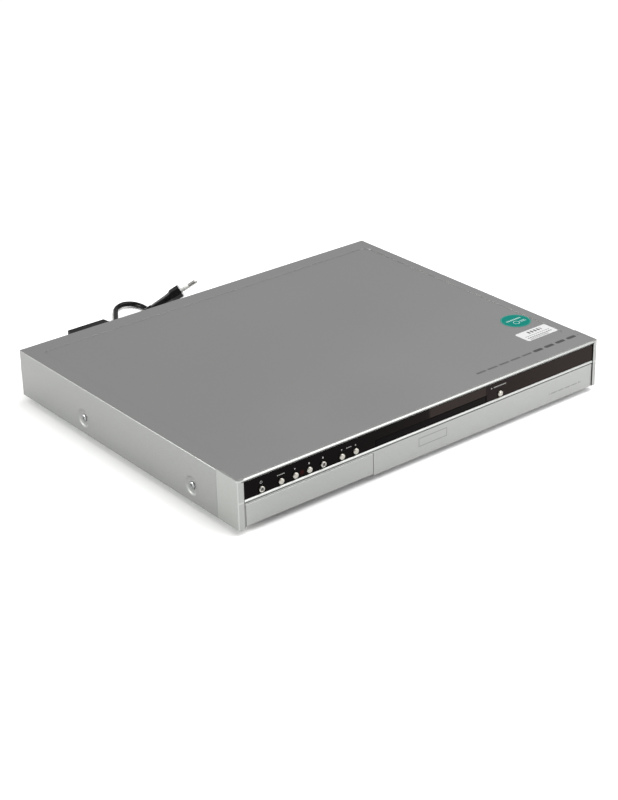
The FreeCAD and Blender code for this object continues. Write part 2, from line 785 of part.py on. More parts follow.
def fan():
    """Small axial fan: square frame with a round bore and struts, and a bladed rotor on its own shaft."""
    frame = body("fan_body")
    low_x, high_x = "fan_x - fan_side / 2", "fan_x + fan_side / 2"
    low_z, high_z = "fan_z - fan_side / 2", "fan_z + fan_side / 2"
    face = rounded((low_x, high_x), (low_z, high_z), "3")
    pad(frame, "XZ_Plane", ("fan_front", "panel_face"), face, circle("fan_x", "fan_z", "fan_bore"))
    struts = [block(("fan_x - 1", "fan_x + 1"), ("panel_face - 1.5", "panel_face"),
                    ("fan_z", "fan_z + fan_bore + 0.5"))]
    struts.append(block(("fan_x - 1", "fan_x + 1"), ("panel_face - 1.5", "panel_face"),
                        ("fan_z - fan_bore - 0.5", "fan_z")))
    struts.append(block(("fan_x", "fan_x + fan_bore + 0.5"), ("panel_face - 1.5", "panel_face"),
                        ("fan_z - 1", "fan_z + 1")))
    seat = rod("Y", ("fan_x", "panel_face - 1.5", "fan_z"), "fan_seat", "1.5")
    boss = rod("Y", ("fan_x", "panel_face - 4.5", "fan_z"), "fan_shaft + 1.2", "4.5")
    bore = rod("Y", ("fan_x", "panel_face - 5", "fan_z"), "fan_shaft + gear_fit", "4.2")
    node("fan_frame", cut(union(frame, *struts, seat, boss), bore))

    front = "fan_front + 0.6"
    hub = rod("Y", ("fan_x", front, "fan_z"), "fan_hub", "fan_thick - 3")
    room = rod("Y", ("fan_x", f"{front} + 1.5", "fan_z"), "fan_hub - 1.5", "fan_thick")
    shaft = rod("Y", ("fan_x", f"{front} + 1", "fan_z"), "fan_shaft", "fan_thick - 3.2")
    blades = []
    for k in range(int(size("fan_blades"))):
        blades.append(fan_blade(k))
    node("fan_rotor", union(cut(hub, room), shaft, *blades))


def fan_blade(number):
    """One pitched blade, from inside the hub's wall to the blade tip."""
    blade = DOC.addObject("Part::Box", "blade")
    bind(blade, Length="fan_blade_chord", Width="fan_blade_thick", Height="fan_blade_tip - fan_hub + 0.7")
    turn = FreeCAD.Rotation(V(0, 1, 0), 360 * number / size("fan_blades"))
    tilt = FreeCAD.Rotation(V(0, 0, 1), size("fan_blade_angle"))
    hub = V(size("fan_x"), size("fan_front") + 0.6 + size("fan_thick") / 2 - 1.5, size("fan_z"))
    reach = turn.multVec(V(0, 0, size("fan_hub") - 0.7))
    across = turn.multiply(tilt).multVec(V(-size("fan_blade_chord") / 2, -size("fan_blade_thick") / 2, 0))
    blade.Placement = FreeCAD.Placement(hub + reach + across, turn.multiply(tilt))
    return blade


def fan_hood():
    """Moulded hood over the fan's outlet, drawn in towards its back, with upright slots."""
    hood = body("hood_shell")
    back = "panel_back + hood_depth + 1"
    left, right = "fan_x - hood_width / 2", "fan_x + hood_width / 2"
    outside = [(left, "panel_back"), (right, "panel_back"), (f"{right} - hood_draft", back),
               (f"{left} + 1", back)]
    pad(hood, "XY_Plane", ("hood_base", "hood_top"), outline(outside))
    wall = "hood_wall"
    inside = [(f"{left} + {wall}", "panel_back - 1"), (f"{right} - {wall}", "panel_back - 1")]
    inside += [(f"{right} - hood_draft - {wall}", f"{back} - {wall}"),
               (f"{left} + 1 + {wall}", f"{back} - {wall}")]
    pocket(hood, "XY_Plane", (f"hood_base + {wall}", f"hood_top - {wall}"), outline(inside))
    first = "fan_x - hood_width / 2 + 7"
    slot = oblong((first, f"{first} + hood_slot"), ("hood_base + 6", "hood_top - 6"))
    cutting = pocket(hood, "XZ_Plane", (f"{back} - hood_wall - 1", f"{back} + 1"), slot)
    repeated(hood, cutting, "X_Axis", "hood_slot * 2.1", "hood_slots")
    return node("fan_hood", hood)


def rear_sockets():
    """The sockets along the back, each block standing on the main board with its mouth through the panel."""
    scarts = []
    tuner = [block(("tuner_x - tuner_width / 2", "tuner_x + tuner_width / 2"),
                   ("panel_face - 46", "panel_face - slip_fit"),
                   ("board_top", "board_top + 36"))]
    sleeves = []
    phonos = []
    phono_bores = []
    phono_half = "phono_radius + socket_collar"
    collar_back = "panel_gauge + socket_collar"
    for row in SOCKET_ROWS:
        low = f"board_top + 1 + {row} * scart_pitch"
        left, right = "scart_x - scart_width / 2", "scart_x + scart_width / 2"
        shell = block((left, right), ("panel_face - 18", "panel_back + scart_proud"),
                      (low, f"{low} + scart_tall"))
        mouth = block((f"{left} + 1.5", f"{right} - 1.5"),
                      ("panel_face - 9", "panel_back + scart_proud + 1"),
                      (f"{low} + 1.5", f"{low} + scart_tall - 1.5"))
        tongue = block((f"{left} + 5", f"{right} - 5"), ("panel_face - 10", "panel_back + scart_proud - 1"),
                       (f"{low} + scart_tall / 2 - 1.5", f"{low} + scart_tall / 2 + 1.5"))
        scarts.append(union(cut(shell, mouth), tongue))
        height = f"tuner_low + {row} * tuner_pitch"
        tuner.append(rod("Y", ("tuner_x", "panel_face - 1", height), "aerial_radius + socket_collar",
                         f"1 + {collar_back}"))
        tuner.append(rod("Y", ("tuner_x", "panel_face - 1", height), "aerial_radius",
                         "1 + panel_gauge + aerial_proud"))
        sleeves.append(rod("Y", ("tuner_x", "panel_back", height), "aerial_radius - 1", "aerial_proud + 2"))
        sleeves.append(rod("Y", ("tuner_x", "panel_back - 4", height), "1.2", "8"))
        for column in range(int(size("phono_columns"))):
            x = f"phono_x + {column} * phono_pitch"
            z = f"phono_low + {row} * phono_rise"
            phonos.append(rod("Y", (x, "panel_face - 2", z), phono_half, f"2 + {collar_back}"))
            phonos.append(rod("Y", (x, "panel_face - 2", z), "phono_radius",
                              "phono_proud + 2 + panel_gauge"))
            phono_bores.append(rod("Y", (x, "panel_back", z), "phono_bore", "phono_proud + 1"))
    scarts.append(block(("scart_x - scart_width / 2 + 4", "scart_x + scart_width / 2 - 4"),
                        ("panel_face - 18", "panel_face - 12"),
                        ("board_top", "board_top + 1 + scart_pitch + 2")))
    node("scart_sockets", union(*scarts))
    node("aerial_tuner", cut(union(*tuner), *sleeves))
    last = "phono_x + (phono_columns - 1) * phono_pitch"
    phonos.append(block((f"phono_x - {phono_half}", f"{last} + {phono_half}"),
                        ("panel_face - 14", "panel_face - slip_fit"),
                        ("board_top", "phono_low + phono_rise + phono_radius + 2")))
    node("phono_sockets", cut(union(*phonos), *phono_bores))
    round_face = rod("Y", ("s_socket_x", "panel_face - 12", "phono_low"), "s_socket_radius",
                     "12 + panel_gauge + 1")
    round_mouth = rod("Y", ("s_socket_x", "panel_back - 4", "phono_low"), "s_socket_radius - 1.4", "6")
    pins = rod("Y", ("s_socket_x", "panel_back - 5", "phono_low"), "1.4", "5")
    optic = ("s_socket_x - optic_side / 2", "s_socket_x + optic_side / 2")
    optic_z = "phono_low + phono_rise"
    square = block(optic, ("panel_face - 12", "panel_back + 1"),
                   (f"{optic_z} - optic_side / 2", f"{optic_z} + optic_side / 2"))
    carrier = block(("s_socket_x - s_socket_radius - 0.5", "s_socket_x + s_socket_radius + 0.5"),
                    ("panel_face - 14", "panel_face - slip_fit"),
                    ("board_top", f"{optic_z} + optic_side / 2 + 0.5"))
    node("small_sockets", union(cut(union(round_face, square, carrier), round_mouth), pins))


# Front

# Where each button sits: seven spread over the strip left of the tray, and one right of the tray
BUTTONS = {
    "power_button": "strip_left + left_room * 180 / 1445",
    "source_button": "strip_left + left_room * 389 / 1445",
    "play_button": "strip_left + left_room * 543 / 1445",
    "stop_button": "strip_left + left_room * 695 / 1445",
    "record_button": "strip_left + left_room * 847 / 1445",
    "channel_down_button": "strip_left + left_room * 1056 / 1445",
    "channel_up_button": "strip_left + left_room * 1212 / 1445",
    "open_close_button": "tray_bezel_right + 17.8",
}


def front_fascia():
    """One moulding: lip, seat for the window strip, ledge, lower panel with an opening, side returns."""
    shell = body("fascia_shell")
    left, right = "strip_left - 0.4", "strip_right + 0.4"
    section = [("panel_sunk", "0"), ("panel_sunk", "panel_high"), ("panel_sunk + 0.7", "panel_high + 0.3")]
    section += [("panel_sunk + 0.7", "panel_high + 0.9"), ("0.2", "panel_high + 1.3"),
                ("0.2", "strip_low - 1")]
    section += [("strip_sunk + 0.1", "strip_low - 0.2"), ("strip_seat", "strip_low - 0.2")]
    section += [("strip_seat", "strip_high + 0.2"), ("strip_sunk + 0.3", "strip_high + 0.3")]
    section += [("strip_sunk + 0.1", "strip_high + 0.8"), ("strip_sunk + 0.9", "strip_high + 1")]
    section += [("strip_sunk + 0.9", "strip_high + 1.4"), ("0.3", "strip_high + 1.6"),
                ("0", "strip_high + 2.2")]
    section += [("0", "body_height - 0.9"), ("0.9", "body_height"), ("lip_width", "body_height")]
    section += [("lip_width", "body_height - cover_gauge - slip_fit"),
                ("floor_front - 2", "body_height - cover_gauge - slip_fit")]
    section += [("floor_front - 2", "strip_high + 1.3"), ("web_back", "strip_high + 1.3"),
                ("web_back", "strip_low - 2")]
    section += [("panel_sunk + 2.4", "strip_low - 2.6"), ("panel_sunk + 2.4", "floor_lip"),
                ("floor_front - slip_fit", "floor_lip")]
    section += [("floor_front - slip_fit", "0")]
    pad(shell, "YZ_Plane", (left, right), outline(section))
    inner = "half - fascia_wall"
    for side, near in (("-", left), ("", right)):
        plan = [(f"{side}half", "fascia_depth"), (f"{side}half", "2.4"), (f"{side}(half - 0.7)", "0.7"),
                (f"{side}(half - 2.4)", "0")]
        plan += [(near, "0"), (near, "lip_width"), (f"{side}({inner})", "lip_width"),
                 (f"{side}({inner})", "fascia_depth")]
        pad(shell, "XY_Plane", ("0", "body_height"), outline(plan))
    ribs = []
    for across in ((f"-({inner} + 0.2)", "-(chassis_half - 2)"), ("chassis_half - 2", f"{inner} + 0.2")):
        ribs.append(block(across, ("lip_width - 1", "floor_front - slip_fit"), ("0", "floor_lip")))
    corner = ("strip_high + 1.3", "body_height - cover_gauge - slip_fit")
    for across in ((f"-({inner} + 0.1)", f"{left} + 0.1"), (f"{right} - 0.1", f"{inner} + 0.1")):
        ribs.append(block(across, ("lip_width - 0.5", "floor_front - 2"), corner))
    lug = ("panel_sunk + 0.6", "web_back + 2")
    flap_end = "flap_right + flap_gap"
    ribs.append(block((flap_end, f"{flap_end} + 3"), lug, ("0", "5.4")))
    ribs.append(block((f"{left} - 2", "flap_left - flap_gap"), lug, ("0", "5.4")))
    deep = ("panel_sunk + 2", "jack_wall - 2")
    tall = ("chassis_gauge + slip_fit", "flap_high + 2")
    ribs.append(block((f"{left} - 0.5", f"{left} + 0.6"), deep, tall))
    ribs.append(block((flap_end, f"{flap_end} + 1.4"), deep, tall))
    ribs.append(block((left, f"{flap_end} + 1"), deep, ("flap_high + 0.8", "flap_high + 2.2")))

    tools = []
    flap_span = ("flap_left - flap_gap", "flap_right + flap_gap")
    tools.append(block(flap_span, ("-1", "panel_sunk + 2.5"), ("-1", "flap_high + flap_gap")))
    tools.append(block(flap_span, ("-1", "hinge_y + 2.7"), ("-1", "flap_low + 4")))
    mouth = ("tray_bezel_left - tray_bezel_gap", "tray_bezel_right + tray_bezel_gap")
    tools.append(block(mouth, ("strip_face", "web_back + 1"), ("strip_low - 0.2", "tray_bezel_high + 0.8")))
    tools.append(block(("display_left", "display_right"), ("strip_seat - 0.1", "web_back + 1"),
                       ("display_low", "display_high")))
    for x in BUTTONS.values():
        tools.append(rod("Y", (x, "strip_seat - 1", "button_z"), "button_radius + button_gap", "6"))
    pin = "hinge_pin + 0.08"
    tools.append(rod("X", ("flap_left - 3", "hinge_y", "hinge_z"), pin, "3"))
    tools.append(rod("X", ("flap_right", "hinge_y", "hinge_z"), pin, "3"))
    return node("front_fascia", cut(union(shell, *ribs), *tools))


def front_window():
    """Gloss black strip that carries the buttons, leaves the tray its mouth and covers the display."""
    strip = body("window_strip")
    face = ("strip_face", "strip_seat")
    pad(strip, "XZ_Plane", face, rounded(("strip_left", "strip_right"), ("strip_low", "strip_high"),
                                         "strip_corner"))
    mouth = ("tray_bezel_left - tray_bezel_gap", "tray_bezel_right + tray_bezel_gap")
    through = ("strip_face - 1", "strip_seat + 1")
    pocket(strip, "XZ_Plane", through, oblong(mouth, ("strip_low - 1", "tray_bezel_high + tray_bezel_gap")))
    holes = [circle(x, "button_z", "button_radius + button_gap") for x in BUTTONS.values()]
    pocket(strip, "XZ_Plane", through, *holes)
    return node("front_window", strip)


def buttons():
    """Domed buttons with a flange behind the front wall and a stem that reaches for its switch."""
    profile = [("0", "-button_reach"), ("button_radius * 0.55", "-button_reach + 0.25")]
    profile += [("button_radius * 0.88", "-button_reach + 0.8"), ("button_radius", "-button_reach + 1.5")]
    profile += [("button_radius", "0"), ("button_flange", "0"), ("button_flange", "1"), ("1.6", "1")]
    profile += [("1.6", "button_stem"), ("0", "button_stem")]
    for label, x in BUTTONS.items():
        node(label, turned(profile, (x, "web_back + button_gap", "button_z"), "Y"))


def button_board():
    """Circuit board behind the strip with a tact switch for each button on the left."""
    face = "switch_face + 1.8"
    upright = ("strip_low - 1", "strip_high - 1")
    board = block(("strip_left + 1.8", "tray_bezel_left - 14.7"), (face, f"{face} + board_thick"), upright)
    extra = block(("tray_bezel_right + 9", "tray_bezel_right + 27"), (face, f"{face} + board_thick"), upright)
    switches = []
    for x in BUTTONS.values():
        switches.append(block((f"{x} - 2.6", f"{x} + 2.6"), ("switch_face + 0.6", face),
                              ("button_z - 2.6", "button_z + 2.6")))
        switches.append(rod("Y", (x, "switch_face", "button_z"), "1.4", "0.8"))
    clips = []
    for x in ("strip_left + 4.8", "tray_bezel_left - 34.7", "tray_bezel_right + 12", "tray_bezel_right + 24"):
        clips.append(block((f"{x} - 1", f"{x} + 1"), ("web_back", face),
                           ("strip_high - 3.4", "strip_high - 1.4")))
    return node("button_board", union(board, extra, *switches, *clips))


def display_module():
    """Glass display tube with its pins on a carrier board behind the window."""
    glass = block(("display_left + 1", "display_right - 1"), ("web_back + 0.3", "web_back + 3.1"),
                  ("display_low - 0.6", "display_high + 0.8"))
    carrier = block(("display_left - 1", "display_right + 1"),
                    ("web_back + 4", "web_back + 4 + board_thick"),
                    ("display_low - 0.6", "display_high + 1.2"))
    spacer = block(("display_left + 4", "display_right - 4"), ("web_back + 3", "web_back + 4.1"),
                   ("display_low + 0.6", "display_low + 2.6"))
    return node("display_module", union(glass, carrier, spacer))


def av_flap():
    """Door over the front sockets: a plate with a turned-in top edge, end cheeks and two hinge pins."""
    door = body("flap_door")
    left, right = "flap_left", "flap_right"
    face, back = "panel_sunk", "panel_sunk + flap_thick"
    section = [(face, "flap_low + 0.4"), (f"{face} + 0.4", "flap_low"), (back, "flap_low"),
               (back, "flap_high - 0.8")]
    section += [(f"{back} + 1.2", "flap_high - 0.8"), (f"{back} + 1.2", "flap_high"),
                (f"{face} + 0.3", "flap_high")]
    section += [(face, "flap_high - 0.3")]
    pad(door, "YZ_Plane", (left, right), outline(section))
    pins = [rod("X", ("flap_left - 2", "hinge_y", "hinge_z"), "hinge_pin", "4")]
    pins.append(rod("X", ("flap_right - 2", "hinge_y", "hinge_z"), "hinge_pin", "4"))
    cheeks = []
    for x in ("flap_left", "flap_right - 1.4"):
        cheeks.append(block((x, f"{x} + 1.4"), (f"{back} - 0.2", f"{back} + 1.2"),
                            ("flap_high - 8", "flap_high")))
        cheeks.append(rod("X", (x, "hinge_y", "hinge_z"), "1.35", "1.4"))
    return node("av_flap", union(door, *pins, *cheeks))


def av_jacks():
    """Socket block behind the flap: recess wall, three phono barrels, a round socket and two flat ones."""
    left, right = "flap_left + 0.4", "flap_right - 0.4"
    wall = block((left, right), ("jack_wall", "jack_wall + 2"), ("2.4", "flap_high - 0.4"))
    floor_shelf = block((left, right), ("floor_front", "jack_wall + 0.5"), ("chassis_gauge", "2.6"))
    carrier = block((f"{left} + 6", f"{right} - 6"), ("jack_wall + 1.5", "jack_wall + 4"),
                    ("chassis_gauge", "flap_high - 3"))
    middle = "flap_low + 10.5"
    added = [wall, floor_shelf, carrier]
    taken = []
    for k in range(3):
        x = f"flap_right - 14 - {k} * jack_pitch"
        added.append(rod("Y", (x, "jack_wall - 1.2", middle), "phono_radius + 0.9", "2"))
        added.append(rod("Y", (x, "jack_wall - phono_proud + 0.5", middle), "phono_radius", "phono_proud"))
        taken.append(rod("Y", (x, "jack_wall - phono_proud - 1", middle), "phono_bore", "phono_proud + 1"))
    x = "flap_right - 14 - 3 * jack_pitch"
    added.append(rod("Y", (x, "jack_wall - 3", middle), "s_socket_radius", "4"))
    taken.append(rod("Y", (x, "jack_wall - 4", middle), "s_socket_radius - 1.3", "4"))
    for left_edge, wide, tall in (("flap_left + 14", "13", "6.5"), ("flap_left + 40", "8", "4.5")):
        across = (left_edge, f"{left_edge} + {wide}")
        up = (f"{middle} - {tall} / 2", f"{middle} + {tall} / 2")
        added.append(block((f"{left_edge} - 1", f"{left_edge} + {wide} + 1"),
                           ("jack_wall - 2", "jack_wall + 1"),
                           (f"{middle} - {tall} / 2 - 1", f"{middle} + {tall} / 2 + 1")))
        taken.append(block(across, ("jack_wall - 3", "jack_wall + 3"), up))
    return node("av_jacks", cut(union(*added), *taken))


# Loader

def disc_tray():
    """Drawer with a disc well, a slot for the spindle and pickup, and a rack cut in its left edge."""
    drawer = body("tray_plate")
    back = "strip_seat + tray_length"
    front = "tray_front_back"
    pad(drawer, "XY_Plane", ("tray_low", "tray_high"), oblong(("tray_left", "tray_right"), (front, back)))
    top = "tray_high + 1"
    pocket(drawer, "XY_Plane", ("well_floor", top), circle("disc_x", "disc_y", "disc_room"))
    slot = ("disc_x - tray_slot", "disc_x + tray_slot")
    pocket(drawer, "XY_Plane", ("tray_low - 1", top), circle("disc_x", "disc_y", "tray_slot - 2"))
    pocket(drawer, "XY_Plane", ("tray_low - 1", top), oblong(slot, ("disc_y", "bridge_start")))
    pocket(drawer, "XY_Plane", ("tray_low - 1", "bridge_under"),
           oblong(slot, ("bridge_start - 1", f"{back} + 1")))
    for across in (("tray_left + 9", "disc_x - tray_slot - 6"),
                   ("disc_x + tray_slot + 6", "tray_right - 9")):
        pocket(drawer, "XY_Plane", ("tray_low - 1", "tray_high - 1.6"),
               rounded(across, ("disc_y + disc_room + 12", f"{back} - 5"), "3"))
    bites = shaped(rack_spaces())
    ledge = block(("tray_left - 1", "tray_left + rack_module * 2.25 + 0.1"),
                  (f"{front} + 6", f"{back} + 1"),
                  ("tray_low - 1", "rack_low"))
    over = block(("tray_left - 1", "tray_left + 0.4"), (f"{front} + 6", f"{back} + 1"),
                 ("rack_high", "rack_high + 0.4"))
    return node("disc_tray", cut(drawer, bites, ledge, over))


# The rack's first gap, counted from the pinion
RACK_FIRST = -4


def rack_spaces():
    """The gaps between the rack's teeth, one wedge each, with sides at the pressure angle."""
    module = size("rack_module")
    pitch = math.pi * module
    lean = math.tan(math.radians(20))
    edge = size("tray_left")
    line = size("rack_line")
    root = line + 1.25 * module
    half = pitch / 4 + size("backlash")
    low, high = size("rack_low") - 0.1, size("rack_high")
    first = size("gear_y")
    gaps = []
    for k in range(int(RACK_FIRST), int((size("tray_travel") + 6) / pitch) + 2):
        y = first + k * pitch
        corners = []
        for x, side in ((edge - 0.5, -1), (root, -1), (root, 1), (edge - 0.5, 1)):
            corners.append(V(x, y + side * (half - lean * (x - line)), low))
        wedge = Part.Face(Part.makePolygon(corners + corners[:1]))
        gaps.append(wedge.extrude(V(0, 0, high - low)))
    return Part.makeCompound(gaps)


def tray_front():
    """Gloss bezel on the drawer's front, with clips that hook behind it."""
    panel = body("bezel")
    section = [("strip_face", "strip_low + 0.3"), ("strip_face + 0.4", "strip_low"),
               ("tray_front_back - slip_fit", "strip_low")]
    section += [("tray_front_back - slip_fit", "tray_bezel_high"), ("strip_face + 0.4", "tray_bezel_high")]
    section += [("strip_face", "tray_bezel_high - 0.3")]
    pad(panel, "YZ_Plane", ("tray_bezel_left", "tray_bezel_right"), outline(section))
    clips = []
    for x in ("disc_x - 45", "disc_x", "disc_x + 45"):
        clips.append(block((f"{x} - 4", f"{x} + 4"), ("tray_front_back - 0.5", "tray_front_back"),
                           ("strip_low + 1", "tray_bezel_high - 1")))
    return node("tray_front", union(panel, *clips))


# The loader's feet: their place and the deck they carry
LOADER_POSTS = (("gear_x - 12", "gear_y - 11", "deck_low"), ("tray_right - 2", "gear_y - 11", "deck_low"),
                ("tray_left + 4", "pivot_y + 3", "rear_deck"),
                ("tray_right - 4", "pivot_y + 3", "rear_deck"))
# The gears' shafts: their place, the end of the shaft and the collar under the gear
GEAR_POSTS = (("gear_x", "gear_y", "rack_high - 0.3", "wheel_low - 0.3"),
              ("idler_x", "gear_y", "wheel_low + wheel_thick + 0.5", "pulley_low - 0.3"))


def loader_frame():
    """Moulded chassis of the loader: side walls with ledges for the tray, gear deck, rear deck and feet."""
    left = ("tray_left - rail_gap - frame_wall", "tray_left - rail_gap")
    right = ("tray_right + rail_gap", "tray_right + rail_gap + frame_wall")
    front = "web_back + 7"
    parts = [block(left, ("gear_clear", "frame_length"), ("rear_deck", "wall_top"))]
    parts.append(block(right, (front, "frame_length"), ("rear_deck", "wall_top")))
    parts.append(block(left, (front, "gear_y - pinion_radius - 3"), ("wheel_low + 3.4", "wall_top")))
    ledge = ("tray_low - 1.6 - rail_gap", "tray_low - rail_gap")
    parts.append(block((f"{left[1]} - 0.1", "tray_left + 4"), ("gear_clear", "frame_length - 8"), ledge))
    parts.append(block(("tray_right - 4", f"{right[0]} + 0.1"), (front, "frame_length - 8"), ledge))
    tab = ("tray_high + rail_gap", "tray_high + rail_gap + 1.6")
    for y in ("gear_y + 22", "gear_y + 100"):
        parts.append(block((f"{left[1]} - 0.1", "tray_left + 2.5"), (y, f"{y} + 12"), tab))
        parts.append(block(("tray_right - 2.5", f"{right[0]} + 0.1"), (y, f"{y} + 12"), tab))
    for across in ((left[0], f"{left[1]} + 5"), (f"{right[0]} - 5", right[1])):
        parts.append(block(across, ("disc_y - 14", "disc_y + 14"), ("tab_top", "wall_top")))
    deck = ("deck_low", "deck_top")
    parts.append(block(("gear_x - 16", right[1]), ("gear_y - 19.5", "cam_y - rail_gap"), deck))
    parts.append(block(left, (front, "gear_y - wheel_radius - 2"), ("deck_low", "wheel_low + 4")))
    parts.append(block(("gear_x - 16", left[1]), ("cam_y - rail_gap - 1", "gear_clear + 8"), deck))
    parts.append(block((left[0], right[1]), ("pivot_y - 8", "frame_length"),
                       ("rear_deck", "rear_deck + 2")))
    guide = ("cam_left - 6", "cam_right + cam_travel + 6")
    parts.append(block(guide, ("cam_y - rail_gap - 2", "cam_y - rail_gap"),
                       ("chassis_gauge", "deck_top + 3")))
    parts.append(block(guide, ("cam_y - rail_gap - 1", "cam_y + cam_thick + rail_gap"),
                       ("chassis_gauge", "cam_low - rail_gap")))
    for side in ("-", "+"):
        x = f"disc_x {side} (traverse_half + pivot_reach)"
        parts.append(block((f"{x} - 3.5", f"{x} + 3.5"), ("pivot_y - 4", "pivot_y + 4"),
                           ("rear_deck", "pivot_z + 4")))
    for x, y, top in LOADER_POSTS:
        parts.append(rod("Z", (x, y, "chassis_gauge"), "4", f"{top} + 1 - chassis_gauge"))
    parts.append(block((left[0], f"{left[1]} + 1"), ("frame_length - 24", "frame_length"),
                       ("rear_deck", "rear_deck + 2")))
    for x, y, top, collar in GEAR_POSTS:
        parts.append(rod("Z", (x, y, "deck_low"), "gear_shaft", f"{top} - deck_low"))
        parts.append(rod("Z", (x, y, "deck_low"), "gear_shaft + 1.5", f"{collar} - deck_low"))
    tools = []
    for side in ("-", "+"):
        x = f"disc_x {side} (traverse_half + pivot_reach) - 4"
        tools.append(rod("X", (x, "pivot_y", "pivot_z"), "pivot_pin + pivot_fit", "8"))
    tools.append(rod("Z", ("motor_x", "motor_y", "deck_low - 1"), "3.2", "4"))
    return node("loader_frame", cut(union(*parts), *tools))


def toothed(module, teeth, phase, low, high):
    """An upright spur gear: each flank runs from the root over two points of its involute to the tip."""
    pitch = module * teeth / 2
    base = pitch * math.cos(math.radians(20))
    tip, root = pitch + module, pitch - 1.25 * module

    def half_angle(radius):
        lean = math.acos(min(1, base / max(radius, base)))
        rise = math.tan(math.radians(20)) - math.radians(20)
        return math.pi / 2 / teeth - size("backlash") / pitch + rise - (math.tan(lean) - lean)

    flank = [root, max(root + 0.05, base + 0.05), pitch, tip]
    corners = []
    for k in range(teeth):
        middle = phase + 2 * math.pi * k / teeth
        for side, radii in ((-1, flank), (1, flank[::-1])):
            for radius in radii:
                turn = middle + side * half_angle(radius)
                corners.append(V(radius * math.cos(turn), radius * math.sin(turn), low))
    face = Part.Face(Part.makePolygon(corners + corners[:1]))
    return face.extrude(V(0, 0, high - low))


def drive_gears():
    """The tray's reduction: wheel with the rack's pinion, and belt pulley with the wheel's pinion."""
    bore = size("gear_shaft") + size("gear_fit")
    wheel_low, wheel_high = size("wheel_low"), size("wheel_low") + size("wheel_thick")
    wheel = toothed(size("wheel_module"), int(size("wheel_teeth")), 0, wheel_low, wheel_high)
    pinion = toothed(size("rack_module"), int(size("pinion_teeth")), 0, wheel_high - 0.1,
                     size("rack_high") - 0.1)
    hub = Part.makeCylinder(size("pinion_radius") - 1.4, size("rack_low") - wheel_high + 0.2,
                            V(0, 0, wheel_high - 0.1))
    upper = Part.makeCylinder(20, size("rack_low") - wheel_high, V(0, 0, wheel_high - 0.1))
    pinion = pinion.cut(upper)
    shape = wheel.fuse([pinion, hub]).cut(Part.makeCylinder(bore, 40))
    at_gear = shaped(shape.removeSplitter())
    at(at_gear, "gear_x", "gear_y", "0")
    node("drive_gear", at_gear)

    low, high = size("pulley_low"), size("pulley_low") + size("pulley_thick")
    radius = size("pulley_radius")
    rim = [V(0, 0, low), V(radius + 0.9, 0, low), V(radius + 0.9, 0, low + 0.3), V(radius, 0, low + 0.7)]
    rim += [V(radius, 0, high - 0.7), V(radius + 0.9, 0, high - 0.3), V(radius + 0.9, 0, high),
            V(0, 0, high)]
    pulley = Part.Face(Part.makePolygon(rim + rim[:1])).revolve(V(), V(0, 0, 1), 360)
    teeth = int(size("idler_teeth"))
    idler = toothed(size("wheel_module"), teeth, math.pi + math.pi / teeth, high - 0.1, wheel_high + 0.2)
    shape = pulley.fuse(idler).cut(Part.makeCylinder(bore, 40))
    at_idler = shaped(shape.removeSplitter())
    at(at_idler, "idler_x", "gear_y", "0")
    node("pulley_gear", at_idler)


def tray_motor():
    """Flat motor under the deck, its pulley on a shaft of its own, and the belt round both pulleys."""
    can = rod("Z", ("motor_x", "motor_y", "deck_low - motor_tall"), "motor_radius", "motor_tall - 0.4")
    neck = rod("Z", ("motor_x", "motor_y", "deck_low - 1"), "3", "1.6")
    ears = block(("motor_x - motor_radius - 3", "motor_x + motor_radius + 3"),
                 ("motor_y - 3", "motor_y + 3"),
                 ("deck_low - 1.6", "deck_low"))
    bore = rod("Z", ("motor_x", "motor_y", "deck_low - 6"), "1 + gear_fit", "12")
    node("tray_motor", cut(union(can, neck, ears), bore))
    points = [("0", "deck_low - 5"), ("1", "deck_low - 5"), ("1", "pulley_low - 0.4"),
              ("motor_pulley + 0.9", "pulley_low - 0.4")]
    points += [("motor_pulley + 0.9", "pulley_low"), ("motor_pulley", "pulley_low + 0.4")]
    points += [("motor_pulley", "pulley_low + pulley_thick - 0.4"),
               ("motor_pulley + 0.9", "pulley_low + pulley_thick")]
    points += [("motor_pulley + 0.9", "pulley_low + pulley_thick + 0.4"),
               ("0", "pulley_low + pulley_thick + 0.4")]
    node("motor_pulley", turned(points, ("motor_x", "motor_y", "0")))
    shape = belt_shape(size("belt_gap") + size("belt_thick")).cut(belt_shape(size("belt_gap")))
    node("drive_belt", shaped(shape))


def belt_shape(offset):
    """The area inside a loop round both pulleys, grown by an offset, as thick as the belt."""
    thick = size("belt_thick")
    low = size("pulley_low") + size("pulley_thick") / 2 - thick / 2
    big = size("pulley_radius") + offset
    small = size("motor_pulley") + offset
    first = V(size("idler_x"), size("gear_y"), low)
    last = V(size("motor_x"), size("motor_y"), low)
    line = last - first
    lean = math.asin((big - small) / line.Length)
    heading = math.atan2(line.y, line.x)
    corners = []
    for side in (1, -1):
        turn = heading + side * (math.pi / 2 - lean)
        out = V(math.cos(turn), math.sin(turn), 0)
        corners.append((first + out * big, last + out * small))
    back = first - V(math.cos(heading), math.sin(heading), 0) * big
    front = last + V(math.cos(heading), math.sin(heading), 0) * small
    edges = [Part.LineSegment(corners[0][0], corners[0][1]).toShape()]
    edges.append(Part.Arc(corners[0][1], front, corners[1][1]).toShape())
    edges.append(Part.LineSegment(corners[1][1], corners[1][0]).toShape())
    edges.append(Part.Arc(corners[1][0], back, corners[0][0]).toShape())
    return Part.Face(Part.Wire(edges)).extrude(V(0, 0, thick))


